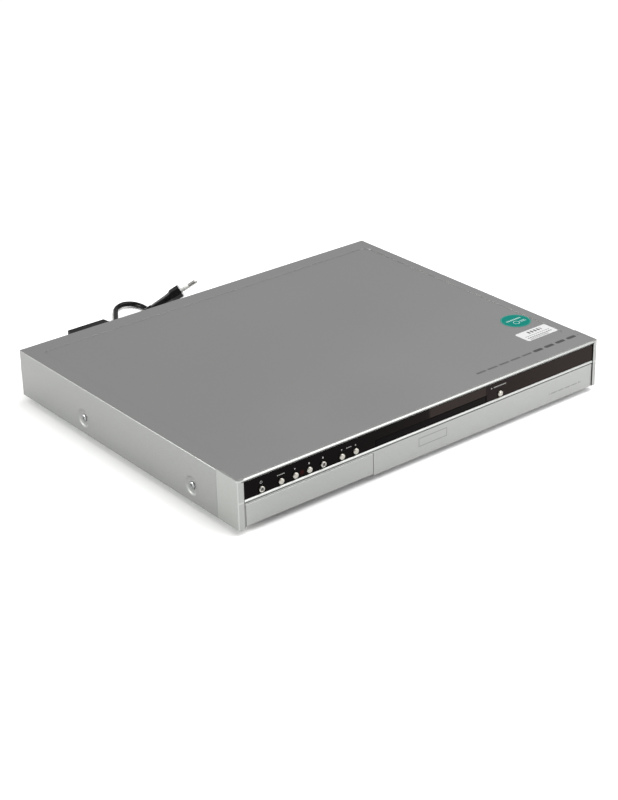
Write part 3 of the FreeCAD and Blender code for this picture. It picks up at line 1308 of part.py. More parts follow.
def cam_slider():
    """Sliding plate whose slanted slot lowers the traverse's front pin as the tray opens."""
    plate = block(("cam_left", "cam_right"), ("cam_y", "cam_y + cam_thick"), ("cam_low", "deck_top + 6"))
    run = V(-size("cam_travel"), 0, -size("drop_fall"))
    start = V(size("disc_x"), size("cam_y") - 1, size("drop_z"))
    width = size("drop_pin") + size("drop_fit")
    along = run.normalize()
    side = V(-along.z, 0, along.x)
    reach = math.hypot(size("cam_travel"), size("drop_fall"))
    end = start + along * reach
    edges = [Part.LineSegment(start + side * width, end + side * width).toShape()]
    edges.append(Part.Arc(end + side * width, end + along * width, end - side * width).toShape())
    edges.append(Part.LineSegment(end - side * width, start - side * width).toShape())
    edges.append(Part.Arc(start - side * width, start - along * width, start + side * width).toShape())
    slot = Part.Face(Part.Wire(edges)).extrude(V(0, size("cam_thick") + 2, 0))
    return node("cam_slider", cut(plate, shaped(slot)))


def traverse():
    """Lifting plate: rear pivots, front pin, seats for the guide rods and the spindle motor's can."""
    low, high = "traverse_low", "traverse_low + traverse_thick"
    left, right = "disc_x - traverse_half", "disc_x + traverse_half"
    rear = "pivot_y + 2.6"
    sheet = [block((left, right), ("traverse_front", rear), (low, high))]
    for x in (left, f"{right} - 2"):
        sheet.append(block((x, f"{x} + 2"), ("traverse_front", rear), (low, "pivot_z")))
        sheet.append(rod("X", (x, "pivot_y", "pivot_z"), "2.6", "2"))
    window = block(("disc_x + rod_left - 4", "disc_x + screw_x + 5"), ("rod_front - 0.5", "rod_rear + 2"),
                   ("0", "40"))
    motor = block(("disc_x + screw_x - 6.6", "disc_x + screw_x + 6.6"),
                  ("rod_front - 14.6", "rod_front - 2.9"), ("0", "40"))
    added = [cut(union(*sheet), window, motor)]
    for x in ("disc_x + rod_left", "disc_x + rod_right"):
        for y in ("rod_front - 4", "rod_rear"):
            added.append(block((f"{x} - 3", f"{x} + 3"), (y, f"{y} + 4"), (low, "rod_z + 2.6")))
    added.append(block(("disc_x + screw_x - 3", "disc_x + screw_x + 3"), ("rod_rear", "rod_rear + 4"),
                       (low, "rod_z + 2.6")))
    added.append(rod("Y", ("disc_x", "cam_y + 0.4", "drop_z"), "drop_pin", "traverse_front - cam_y + 2"))
    for x in ("disc_x - traverse_half - pivot_reach - 3", "disc_x + traverse_half - 1"):
        added.append(rod("X", (x, "pivot_y", "pivot_z"), "pivot_pin", "pivot_reach + 4"))
    added.append(rod("Z", ("disc_x", "disc_y", "traverse_low - 4"), "table_radius - 1",
                     "7 + traverse_thick"))
    bore = rod("Z", ("disc_x", "disc_y", "traverse_low - 3"), "spindle_radius + spindle_fit", "30")
    end_bore = rod("Y", ("disc_x + screw_x", "rod_rear - 1", "rod_z"), "rod_radius + gear_fit", "4")
    return node("traverse", cut(union(*added), bore, end_bore))


def rails_and_screw():
    """The pickup's two guide rods and its lead screw with the motor that turns it."""
    rods = []
    for x in ("disc_x + rod_left", "disc_x + rod_right"):
        rods.append(rod("Y", (x, "rod_front", "rod_z"), "rod_radius", "rod_rear - rod_front"))
    node("guide_rods", group(*rods))
    x = "disc_x + screw_x"
    can = rod("Y", (x, "rod_front - 14", "rod_z"), "5.5", "13")
    plate = block((f"{x} - 5.5", f"{x} + 5.5"), ("rod_front - 2.4", "rod_front - 1"),
                  ("traverse_low + traverse_thick", "rod_z"))
    bore = rod("Y", (x, "rod_front - 8", "rod_z"), "rod_radius + gear_fit", "12")
    node("sled_motor", cut(union(can, plate), bore))
    node("lead_screw", rod("Y", (x, "rod_front - 7", "rod_z"), "rod_radius", "rod_rear - rod_front + 9"))


def turntable():
    """Disc table with its rim, centring cone and spindle, turned in one piece."""
    under = "disc_plane - table_thick"
    points = [("0", "traverse_low - 2.6"), ("spindle_radius", "traverse_low - 2.6"),
              ("spindle_radius", f"{under} - 2")]
    points += [("5", f"{under} - 2"), ("5", under), ("table_radius", under), ("table_radius", "disc_plane")]
    points += [("spigot_radius", "disc_plane"), ("spigot_radius", "disc_plane + 1.1")]
    points += [("spigot_radius - 2.2", "spigot_top"), ("0", "spigot_top")]
    return node("turntable", turned(points, ("disc_x", "disc_y", "0")))


def pickup():
    """Laser sled: body bored for one rod, forked on the other, with the lens and the screw's follower."""
    y = ("pickup_front", "pickup_front + pickup_length")
    x = ("disc_x + rod_left - 3.4", "disc_x + rod_right + 3.4")
    base = block((f"{x[0]} + 6", f"{x[1]} - 6"), y, ("rod_z - 2.6", "tray_low - 0.9"))
    sleeve = block((x[0], f"{x[0]} + 7"), y, ("rod_z - 2.6", "rod_z + 2.8"))
    fork = block((f"{x[1]} - 7", x[1]), (f"{y[0]} + 9", f"{y[1]} - 9"), ("rod_z - 2.6", "rod_z + 2.8"))
    tooth = block((f"{x[1]} - 1", "disc_x + screw_x - rod_radius - 0.3"), (f"{y[0]} + 12", f"{y[1]} - 12"),
                  ("rod_z - 1", "rod_z + 1"))
    cap = rod("Z", ("disc_x", "lens_y", "tray_low - 1"), "5.5", "1.4")
    lens = rod("Z", ("disc_x", "lens_y", "tray_low"), "2.4", "0.9")
    bore = rod("Y", ("disc_x + rod_left", f"{y[0]} - 1", "rod_z"), "rod_radius + gear_fit",
               "pickup_length + 2")
    slot = block(("disc_x + rod_right - rod_radius - gear_fit", f"{x[1]} - 0.9"),
                 (f"{y[0]} - 1", f"{y[1]} + 1"),
                 ("rod_z - rod_radius - gear_fit", "rod_z + rod_radius + gear_fit"))
    return node("pickup", union(cut(union(base, sleeve, fork, cap, lens), bore, slot), tooth))


def clamp():
    """Steel bridge over the tray and the magnetic puck that hangs in its hole."""
    left, right = "tray_left - rail_gap - frame_wall", "tray_right + rail_gap + frame_wall"
    strap = block((left, right), ("disc_y - 19", "disc_y + 19"), ("wall_top", "wall_top + bridge_gauge"))
    rims = []
    for y in ("disc_y - 19", "disc_y + 18"):
        rims.append(block((left, right), (y, f"{y} + 1"), ("wall_top", "wall_top + bridge_gauge + 3")))
    hole = rod("Z", ("disc_x", "disc_y", "wall_top - 1"), "puck_bore", "8")
    node("clamp_bridge", cut(union(strap, *rims), hole))
    seat = "wall_top + bridge_gauge + 0.1"
    points = [("0", "puck_under"), ("puck_radius - 0.8", "puck_under"), ("puck_radius", "puck_under + 0.8")]
    points += [("puck_radius", seat), ("puck_flange", seat), ("puck_flange", f"{seat} + 1.4")]
    points += [("puck_radius - 2", f"{seat} + 1.4"), ("puck_radius - 2", f"{seat} + 0.2"),
               ("0", f"{seat} + 0.2")]
    node("clamp_puck", turned(points, ("disc_x", "disc_y", "0")))


# Boards, power supply and hard disk

def power_supply():
    """Mains board at the left rear: transformer, smoothing capacitors, choke, fuse and a finned heat sink."""
    left, front = "power_left", "power_front"
    board = block((left, f"{left} + power_width"), (front, f"{front} + power_length"),
                  ("board_low", "board_top"))
    node("power_board", board)
    seat = "board_top"
    core = block((f"{left} + 38", f"{left} + 72"), (f"{front} + 42", f"{front} + 72"),
                 (seat, f"{seat} + 24"))
    windings = block((f"{left} + 42", f"{left} + 68"), (f"{front} + 36", f"{front} + 78"),
                     (f"{seat} + 4", f"{seat} + 20"))
    parts = [union(core, windings)]
    for x, y, radius, tall in (("18", "70", "11", "27"), ("82", "20", "6", "22"), ("96", "20", "6", "22"),
                               ("96", "36", "5", "16")):
        parts.append(rod("Z", (f"{left} + {x}", f"{front} + {y}", seat), radius, tall))
    choke = block((f"{left} + 8", f"{left} + 30"), (f"{front} + 88", f"{front} + 104"),
                  (seat, f"{seat} + 18"))
    fuse = block((f"{left} + 36", f"{left} + 58"), (f"{front} + 96", f"{front} + 103"),
                 (seat, f"{seat} + 8"))
    plug = block((f"{left} + 8", f"{left} + 40"), (f"{front} + 4", f"{front} + 11"), (seat, f"{seat} + 10"))
    node("power_parts", group(*parts, choke, fuse, plug))
    spine = block((f"{left} + 80", f"{left} + 83"), (f"{front} + 48", f"{front} + 104"),
                  (seat, f"{seat} + 28"))
    fins = []
    for k in range(7):
        y = f"{front} + 48 + {k} * 9"
        fins.append(block((f"{left} + 82.5", f"{left} + 94"), (y, f"{y} + 2"), (seat, f"{seat} + 28")))
    node("heat_sink", union(spine, *fins))


def main_board():
    """Signal board along the back with its processor, memory, tuner shield and ribbon sockets."""
    board = block(("main_left", "main_right"), ("main_front", "panel_face - 1"), ("board_low", "board_top"))
    parts = [board]
    foot = "board_top - 0.1"
    processor = ("main_left + 98", "main_front + 30", 28, 28, 2.4)
    memory = ("main_left + 58", "main_front + 36", 20, 14, 1.6)
    encoder = ("main_right - 104", "main_front + 40", 22, 22, 2)
    logic = ("main_left + 138", "main_front + 24", 24, 12, 1.6)
    supply_plug = ("main_left + 20", "main_front + 20", 40, 8, 8)
    loader_plug = ("main_right - 108", "main_front + 12", 40, 7, 7)
    disk_plug = ("main_right - 54", "main_front + 30", 30, 9, 8)
    sound = ("main_left + 68", "panel_face - 63.3", 12, 12, 3)
    filters = ("main_right - 86", "panel_face - 49.3", 12, 8, 4)
    for x, y, wide, deep, tall in (processor, memory, encoder, logic, supply_plug, loader_plug, disk_plug,
                                   sound, filters):
        parts.append(block((x, f"{x} + {wide}"), (y, f"{y} + {deep}"), (foot, f"board_top + {tall}")))
    capacitors = [("main_left + 12", 69.3), ("main_left + 24", 53.3), ("main_left + 126", 69.3)]
    capacitors += [("main_right - 120", 63.3), ("main_right - 28", 69.3), ("main_right - 14", 79.3)]
    for x, behind in capacitors:
        parts.append(rod("Z", (x, f"panel_face - {behind}", foot), "4", "11"))
    return node("main_board", union(*parts))


def hard_disk():
    """Hard disk on its bracket: cast case, lid, two platters on a hub and the head arm between them."""
    left, front = "disk_left", "disk_front"
    right, rear = f"{left} + disk_width", f"{front} + disk_length"
    low, top = "disk_low", "disk_low + disk_tall"
    plate = block((f"{left} - 4", f"{right} + 4"), (f"{front} + 6", f"{rear} - 6"), (f"{low} - 1.2", low))
    legs = []
    for x, foot in ((f"{left} - 4", (f"{left} - 13", f"{left} - 2.8")),
                    (f"{right} + 2.8", (f"{right} + 2.8", f"{right} + 13"))):
        for y in (f"{front} + 16", f"{rear} - 40"):
            legs.append(block((x, f"{x} + 1.2"), (y, f"{y} + 24"), ("chassis_gauge", low)))
            legs.append(block(foot, (y, f"{y} + 24"), ("chassis_gauge", "chassis_gauge + 1.2")))
    node("disk_bracket", union(plate, *legs))

    axis = f"{front} + platter_y"
    block_out = block((left, right), (front, rear), (low, f"{top} - 1.2"))
    room = rod("Z", ("platter_x", axis, f"{low} + 5"), "platter_radius + 1.6", "disk_tall")
    bay = block((f"{left} + 8", f"{right} - 6"), (f"{axis} + 20", f"{rear} - 12"),
                (f"{low} + 5", f"{top} + 1"))
    steps = []
    for x in (f"{left} - 1", f"{right} - 2"):
        steps.append(block((x, f"{x} + 3"), (f"{front} + 20", f"{rear} - 20"),
                           (f"{low} - 1", f"{low} + 9")))
    hub_post = rod("Z", ("platter_x", axis, f"{low} + 4"), "2.5", "disk_tall - 8")
    arm_post = rod("Z", ("arm_axis_x", "arm_axis_y", f"{low} + 4"), "2.5", "disk_tall - 8")
    coil_block = block(("arm_axis_x - 12", "arm_axis_x + 10"), ("arm_axis_y + 14", "arm_axis_y + 27"),
                       (f"{low} + 4", f"{low} + 8"))
    node("disk_case", union(cut(block_out, room, bay, *steps), hub_post, arm_post, coil_block))
    lid = block((f"{left} + 1", f"{right} - 1"), (f"{front} + 1", f"{rear} - 1"), (f"{top} - 1.2", top))
    dish = block((f"{left} + 14", f"{right} - 14"), (f"{front} + 70", f"{rear} - 16"),
                 (f"{top} - 0.5", f"{top} + 1"))
    node("disk_lid", cut(lid, dish))

    first = "platter_low"
    second = "platter_low + platter_pitch"
    points = [("2.5 + gear_fit", f"{first} - 2"), ("12.5", f"{first} - 2"), ("12.5", first),
              ("platter_radius", first)]
    points += [("platter_radius", f"{first} + platter_thick"), ("12.5", f"{first} + platter_thick"),
               ("12.5", second)]
    points += [("platter_radius", second), ("platter_radius", f"{second} + platter_thick")]
    points += [("12.5", f"{second} + platter_thick"), ("12.5", f"{second} + platter_thick + 1.6")]
    points += [("2.5 + gear_fit", f"{second} + platter_thick + 1.6")]
    node("disk_platters", turned(points, ("platter_x", axis, "0")))

    x, y = "arm_axis_x", "arm_axis_y"
    hub = rod("Z", (x, y, f"{first} - 2.6"), "7", "platter_pitch + 6.4")
    arms = []
    for z in (f"{first} - 1.9", f"{first} + (platter_pitch + platter_thick) / 2 - 0.7",
              f"{second} + platter_thick + 0.5"):
        arms.append(head_arm(z))
    voice = block((f"{x} - 8", f"{x} + 6"), (f"{y} + 5", f"{y} + 24"), (f"{first} + 1", f"{first} + 3.4"))
    bore = rod("Z", (x, y, "0"), "2.5 + gear_fit", "60")
    node("disk_arm", cut(union(hub, voice, *arms), bore))


def head_arm(low):
    """One tapered arm from the pivot towards the inner tracks."""
    arm = body("arm")
    x, y = "arm_axis_x", "arm_axis_y"
    corners = [(f"{x} - 5", f"{y} + 2"), (f"{x} - 33", f"{y} - 33"), (f"{x} - 30.5", f"{y} - 35"),
               (f"{x} + 4", f"{y} - 5")]
    pad(arm, "XY_Plane", (low, f"{low} + 1.2"), outline(corners))
    return arm


# Mains lead: relief, free stretch, coil, loop and plug

def lead_bushing():
    """Moulded relief: flange inside the panel, neck through it, flange outside and a ringed taper."""
    face, back = "-panel_gauge", "0"
    points = [("0", f"{face} - 3"), ("bushing_neck + 2", f"{face} - 3"),
              ("bushing_neck + 2", f"{face} - slip_fit")]
    points += [("bushing_neck", f"{face} - slip_fit"), ("bushing_neck", f"{back} + slip_fit"),
               ("bushing_neck + 2", f"{back} + slip_fit")]
    points += [("bushing_neck + 2", "2"), ("bushing_neck", "2.4")]
    rings = 4
    for k in range(rings):
        start = f"3 + (relief_length - 3) * {k} / {rings}"
        after = f"3 + (relief_length - 3) * ({k} + 0.62) / {rings}"
        wide = f"bushing_neck - (bushing_neck - relief_tip) * {k + 0.6} / {rings}"
        points += [(wide, start), (wide, after), (f"{wide} - 0.7", f"{after} + 0.5"),
                   (f"{wide} - 0.7", f"{start} + (relief_length - 3) / {rings} - 0.5")]
    points = points[:-1] + [("relief_tip - 0.3", "relief_length"), ("0", "relief_length")]
    return node("lead_bushing", turned(points, ("lead_x", "panel_back", "lead_z"), "Y"))


def tube(name, route):
    """A round lead along straight runs joined by arcs, each as large as its two runs allow."""
    points = [V(*point) for point in route]
    edges = []
    here = points[0]
    radii = []
    for before, corner, after in zip(points, points[1:], points[2:]):
        arriving, leaving = corner - before, after - corner
        turn = arriving.getAngle(leaving)
        trim = 0.45 * min(arriving.Length, leaving.Length)
        radius = trim / math.tan(turn / 2)
        radii.append(round(radius, 1))
        arriving.normalize()
        leaving.normalize()
        inward = (leaving - arriving).normalize()
        start, end = corner - arriving * trim, corner + leaving * trim
        middle = corner + inward * (radius / math.cos(turn / 2) - radius)
        edges.append(Part.LineSegment(here, start).toShape())
        edges.append(Part.Arc(start, middle, end).toShape())
        here = end
    edges.append(Part.LineSegment(here, points[-1]).toShape())
    print(f"{name}: bend radii {radii}")
    return swept(name, edges, points[0], points[1] - points[0])


def swept(name, edges, start, heading):
    """The lead's round section along a path, with its volume set against section times length."""
    path = Part.Wire(edges)
    ring = Part.Wire(Part.Circle(start, heading, size("lead_radius")).toShape())
    solid = path.makePipeShell([ring], True, False)
    wanted = math.pi * size("lead_radius") ** 2 * path.Length
    print(f"{name}: length {path.Length:.1f} mm, volume {solid.Volume:.1f} of {wanted:.1f} mm3")
    return shaped(solid)


# Quarter turns of the coil on its upper and lower layer
IN_QUARTERS = 12
OUT_QUARTERS = 10


def coil_path():
    """Quarter turns that spiral in on the upper layer, drop in half a turn and spiral out on the floor."""
    low = lead_low()
    high = low + size("coil_layer")
    centre = V(size("coil_x"), size("coil_y"), high)
    radius = size("coil_radius")
    step = size("coil_step") / 4
    straight = 2 * size("lead_radius")
    turns = math.radians(90)
    angle = -turns

    def out(way):
        return V(math.cos(way), math.sin(way), 0)

    start = centre + out(angle) * radius
    edges = [Part.LineSegment(start - out(0) * straight, start).toShape()]
    for k in range(IN_QUARTERS):
        edges.append(quarter(centre, radius, angle))
        angle += turns
        centre = centre + out(angle) * step
        radius -= step
    centre.z = (low + high) / 2
    drop = V(0, 0, (high - low) / 2)
    first = centre + out(angle) * radius + drop
    last = centre - out(angle) * radius - drop
    reach = (last - first).Length / 2
    middle = centre + out(angle + turns) * reach
    edges += [bend(first, out(angle + turns), middle), bend(middle, last - first, last)]
    angle += 2 * turns
    centre.z = low
    for k in range(OUT_QUARTERS):
        centre = centre - out(angle) * step
        radius += step
        edges.append(quarter(centre, radius, angle))
        angle += turns
    end = centre + out(angle) * radius
    edges.append(Part.LineSegment(end, end + out(angle + turns) * straight).toShape())
    return edges


def quarter(centre, radius, angle):
    ends = [centre + V(math.cos(way), math.sin(way), 0) * radius for way in (angle, angle + math.pi / 4,
                                                                             angle + math.pi / 2)]
    return Part.Arc(*ends).toShape()


def bend(start, heading, end):
    """The arc that leaves a point along a heading and ends at another point."""
    chord = end - start
    along = V(heading).normalize()
    side = (chord - along * chord.dot(along)).normalize()
    radius = chord.Length ** 2 / (2 * chord.dot(side))
    centre = start + side * radius
    toward = (start + end) * 0.5 - centre
    return Part.Arc(start, centre + toward.normalize() * radius, end).toShape()


def lead_low():
    """Height of the lead's middle where it lies on the floor."""
    return size("lead_radius") + 0.05 - size("foot_height")


def least_gap(edges):
    """Smallest space between one turn of the coil and another, measured on points along it."""
    points, run = [], 0.0
    for edge in edges:
        count = max(2, int(edge.Length / 4))
        first, last = edge.ParameterRange
        for k in range(count):
            points.append((run + edge.Length * k / count, edge.valueAt(first + (last - first) * k / count)))
        run += edge.Length
    least = 1e9
    for k, (along, point) in enumerate(points):
        for further, other in points[k + 1:]:
            if further - along > 40:
                least = min(least, (point - other).Length)
    return least - 2 * size("lead_radius")


def leads():
    """The free stretch from the relief to the coil, the coil, and the loop from the coil to the plug."""
    low = lead_low()
    high = low + size("coil_layer")
    begin = size("panel_back") + size("relief_length")
    route = [(size("lead_x"), begin, size("lead_z")), (size("lead_x"), begin + 16, size("lead_z"))]
    route += [(-182.2, 398.3, 7.4), (-172.7, 409.2, 1.8), (-158.9, 415.1, -2), (-144.4, 413.8, low)]
    route += [(-132, 405.8, low), (-123.4, 392.7, low), (-116.5, 379.8, low), (-110.3, 367.1, -2)]
    route += [(-99.4, 356.6, 0.6), (-85.5, 351, high), (-71.5, 351, high)]
    node("mains_lead", tube("mains_lead", route))
    turns = coil_path()
    print(f"lead_coil: least gap between turns {least_gap(turns):.2f} mm")
    start = turns[0].Vertexes[0].Point
    node("lead_coil", swept("lead_coil", turns, start, V(1, 0, 0)))
    tail = V(size("plug_x"), size("plug_y"), size("plug_z"))
    last = tail - plug_turn().multVec(V(16, 0, 0))
    leave = turns[-1].Vertexes[-1].Point
    route = [leave, leave + V(17, 0, 0), (-20, 356, low), (-6, 369, low), (-2, 390, low), (-2, 457.1, low)]
    route += [(-9.3, 466.9, low), (-20.9, 470.5, low), (-32.4, 466.4, low), (-49.5, 441.1, low), last, tail]
    node("lead_loop", tube("lead_loop", route))


def plug_turn():
    """The plug is held off the floor by its stiff lead, nose up and rolled on its edge."""
    heading = FreeCAD.Rotation(V(0, 0, 1), size("plug_heading"))
    tilt = FreeCAD.Rotation(V(0, 1, 0), -size("plug_tilt"))
    roll = FreeCAD.Rotation(V(1, 0, 0), size("plug_roll"))
    return heading.multiply(tilt).multiply(roll)


def plug_section(along, wide, thick):
    """The plug's flat eight-sided section at a distance from its tail."""
    across, flat = wide / 2, max(wide / 2 - 5.5, 1.5)
    edge = thick * 0.24
    ring = [(across, edge), (flat, thick / 2), (-flat, thick / 2), (-across, edge)]
    ring += [(-across, -edge), (-flat, -thick / 2), (flat, -thick / 2), (across, -edge)]
    points = [V(along, a, b) for a, b in ring]
    return Part.makePolygon(points + points[:1])


def mains_plug():
    """Flat two-pin plug: tapered ringed tail, waisted body, and two round pins that lean together."""
    tail, long = size("plug_tail"), size("plug_body")
    wide, thick = size("plug_width"), size("plug_thick")
    sections = [(tail - 1, 10, 7.6), (tail + 4, 13, 8.4), (tail + 18, 26, 9.4), (tail + 23.5, wide, 10.2)]
    sections += [(tail + 26.5, wide, thick), (tail + long, wide, thick)]
    housing = Part.makeLoft([plug_section(*section) for section in sections], True, True)
    relief = Part.makeCone(size("relief_tip"), 4.2, tail, V(), V(1, 0, 0))
    rings = [Part.makeTorus(0.6 + size("relief_tip") + 0.9 * k / 4, 0.7, V(3 + 3 * k, 0, 0),
                            V(1, 0, 0)) for k in range(4)]
    place = FreeCAD.Placement(V(size("plug_x"), size("plug_y"), size("plug_z")), plug_turn())
    pins = []
    rooted = 4
    for side in (-1, 1):
        lean = V(size("pin_length"), -side * 0.5, 0).normalize()
        base = V(tail + long, side * size("pin_spread"), 0) - lean * rooted
        reach = size("pin_length") + rooted - size("pin_radius") * 0.8
        shank = Part.makeCylinder(size("pin_radius"), reach, base, lean)
        tip = Part.makeCone(size("pin_radius"), size("pin_radius") * 0.45, size("pin_radius") * 0.8,
                            base + lean * reach, lean)
        pins.append(shank.fuse(tip).removeSplitter())
    plug = shaped(housing.fuse([relief] + rings).removeSplitter().cut(pins))
    plug.Placement = place
    node("mains_plug", group(plug))
    pair = shaped(Part.makeCompound(pins))
    pair.Placement = place
    node("plug_pins", group(pair))


def write_parts():
    """Builds everything, looks for failures and writes one file for each piece."""
    DOC.recompute()
    for thing in DOC.Objects:
        faults = {"Invalid", "Error"} & set(thing.State)
        if faults:
            raise RuntimeError(f"{thing.Name} ({thing.Label}) is {faults}")
    os.makedirs("parts", exist_ok=True)
    for label, piece in NODES.items():
        shape = piece.Shape
        if shape.isNull() or not shape.isValid() or shape.Volume <= 0:
            raise RuntimeError(f"{label} has no sound shape")
    for label, piece in NODES.items():
        piece.Shape.exportStep(f"parts/{label}.step")
        print(f"{label}: {len(piece.Shape.Solids)} solid(s), {piece.Shape.Volume:.1f} mm3")


top_cover()
cover_screws()
bottom_chassis()
feet()
rear_panel()
fan()
fan_hood()
rear_sockets()
front_fascia()
front_window()
buttons()
button_board()
display_module()
av_flap()
av_jacks()
disc_tray()
tray_front()
loader_frame()
drive_gears()
tray_motor()
cam_slider()
traverse()
rails_and_screw()
turntable()
pickup()
clamp()
power_supply()
main_board()
hard_disk()
lead_bushing()
leads()
mains_plug()
write_parts()
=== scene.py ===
"""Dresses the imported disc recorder: finishes, softened mouldings, screws, signs, stickers and lead."""
import json
from math import cos, hypot, pi, radians, sin, tan

import bmesh
import bpy
from bpy.props import FloatProperty, FloatVectorProperty, PointerProperty
from mathutils import Matrix, Vector

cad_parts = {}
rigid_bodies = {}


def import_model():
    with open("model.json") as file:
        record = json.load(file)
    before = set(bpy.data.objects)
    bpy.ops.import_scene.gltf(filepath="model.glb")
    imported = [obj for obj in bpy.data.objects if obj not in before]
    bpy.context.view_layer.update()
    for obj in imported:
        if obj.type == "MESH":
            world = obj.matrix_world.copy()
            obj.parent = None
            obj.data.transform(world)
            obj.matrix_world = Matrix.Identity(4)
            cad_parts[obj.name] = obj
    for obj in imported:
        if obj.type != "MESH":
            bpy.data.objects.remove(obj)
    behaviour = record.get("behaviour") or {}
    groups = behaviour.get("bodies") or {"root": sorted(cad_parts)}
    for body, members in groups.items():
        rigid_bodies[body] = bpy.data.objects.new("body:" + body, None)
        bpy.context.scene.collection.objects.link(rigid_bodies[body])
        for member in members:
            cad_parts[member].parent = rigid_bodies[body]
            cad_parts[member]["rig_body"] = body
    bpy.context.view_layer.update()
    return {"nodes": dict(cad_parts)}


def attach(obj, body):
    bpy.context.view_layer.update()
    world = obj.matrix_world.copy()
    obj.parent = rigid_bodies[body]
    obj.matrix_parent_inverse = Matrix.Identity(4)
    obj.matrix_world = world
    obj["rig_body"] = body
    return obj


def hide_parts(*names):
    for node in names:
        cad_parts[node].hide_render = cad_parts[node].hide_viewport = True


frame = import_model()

bl_info = {
    "name": "Disc recorder dressing",
    "version": (1, 0, 0),
    "blender": (4, 5, 0),
    "location": "3D View > Sidebar > Recorder",
    "description": "Finishes and fine pieces of a disc recorder with a hard disk",
    "category": "Object",
}

NODES = frame["nodes"]
FRONT_SHIFT = -180.65
FOOT_RISE = 6.0
TURN = 2 * pi

# Places in bench millimetres, as left, right, low and high
STRIP = (-207.8, 208.7, 27.0, 43.3)
STRIP_CORNER = 2.0
STRIP_FACE = 0.87
DRAWER = (-63.4, 69.1, 27.0, 33.5)
DISPLAY = (-2.0, 69.0, 33.9, 43.3)
BADGE = (-13.0, 21.0, 10.0, 18.4)
BADGE_LINE = 0.5
LABEL = (163.5, 203.5, 41.0, 60.5)
LABEL_CORNER = 2.2
MARKS = (76, 209)
STICKER_MIDDLE, STICKER_RADIUS = (188, 84), 15
COVER_TOP = 46.7
BUTTON_ROW, BUTTON_FACE, SIGN_ROW = 31.4, -1.0, 37.6
RED_POINT = (-146, 31.6)
WELL_MIDDLE = (2.85, 72)
PLATTER_MIDDLE = (146.8, 114)
RELIEF_END = (-186, 368.3, 13)
STRIP_MIDDLE = (STRIP[0] + STRIP[1]) / 2
BLACK = (0.012, 0.012, 0.012)


def metres(*parts):
    return [part / 1000 for part in parts]


def bench(x, y, z):
    """A point given in millimetres from the case's middle, its front plane and its underside."""
    return Vector(metres(x, y + FRONT_SHIFT, z + FOOT_RISE))


# ---- Sizes and colours a user would change


def shade(name, description, default):
    return FloatVectorProperty(name=name, description=description, default=default, min=0, max=1, subtype="COLOR")


def length(name, description, default):
    return FloatProperty(name=name, description=description, default=default, min=0, subtype="DISTANCE", unit="LENGTH")


def power(name, description, default):
    return FloatProperty(name=name, description=description, default=default, min=0, unit="POWER")


class RecorderCase(bpy.types.PropertyGroup):
    cover: shade("Cover", "Paint of the folded steel cover", (0.25, 0.252, 0.25))
    silver: shade("Silver", "Silver paint of the front moulding", (0.315, 0.321, 0.312))
    strip: shade("Strip", "Colour of the polished front strip", (0.006, 0.0045, 0.0045))
    edge: length("Edge", "Width of the softened edges of mouldings", 0.00025)
    sticker: shade("Round sticker", "Colour of the round sticker", (0.002, 0.15, 0.122))
    flake: FloatProperty(name="Flake", description="How strongly the paint's flake shows", default=0.09, min=0, max=1)


class RecorderLead(bpy.types.PropertyGroup):
    radius: length("Radius", "Half the lead's thickness", 0.00275)
    turn_radius: length("Turn radius", "Radius of the coil's largest turn", 0.0365)
    turn_step: length("Turn step", "How much a turn is smaller than the one around it", 0.006)
    layer: length("Layer", "Height between the coil's two layers", 0.006)
    colour: shade("Colour", "Colour of the lead and the plug", (0.0022, 0.0022, 0.0023))


class RecorderStage(bpy.types.PropertyGroup):
    floor: shade("Floor", "Colour of the plain floor", (0.93, 0.93, 0.93))
    dome: FloatProperty(name="Dome", description="Brightness of the even light all round", default=0.68, min=0)
    side: power("Side light", "Power of the large light on the left", 60)
    front: power("Front light", "Power of the light on the right in front", 0.7)
    over: power("High light", "Power of the large light above", 45)
    lens: FloatProperty(name="Lens", description="Focal length of the camera in millimetres", default=84.39, min=1)


# ---- Finishes


class Amount:
    """A number that varies over a surface. Sums written with it add Math nodes."""

    def __init__(self, finish, socket):
        self.finish, self.socket = finish, socket

    def __add__(self, other):
        return self.finish.maths("ADD", self, other)

    def __sub__(self, other):
        return self.finish.maths("SUBTRACT", self, other)

    def __rsub__(self, other):
        return self.finish.maths("SUBTRACT", other, self)

    def __mul__(self, other):
        return self.finish.maths("MULTIPLY", self, other)

    def __truediv__(self, other):
        return self.finish.maths("DIVIDE", self, other)

    def __pow__(self, other):
        return self.finish.maths("POWER", self, other)

    def __lt__(self, other):
        return self.finish.maths("LESS_THAN", self, other)

    def __gt__(self, other):
        return self.finish.maths("GREATER_THAN", self, other)

    def __abs__(self):
        return self.finish.maths("ABSOLUTE", self)

    __radd__ = __add__
    __rmul__ = __mul__


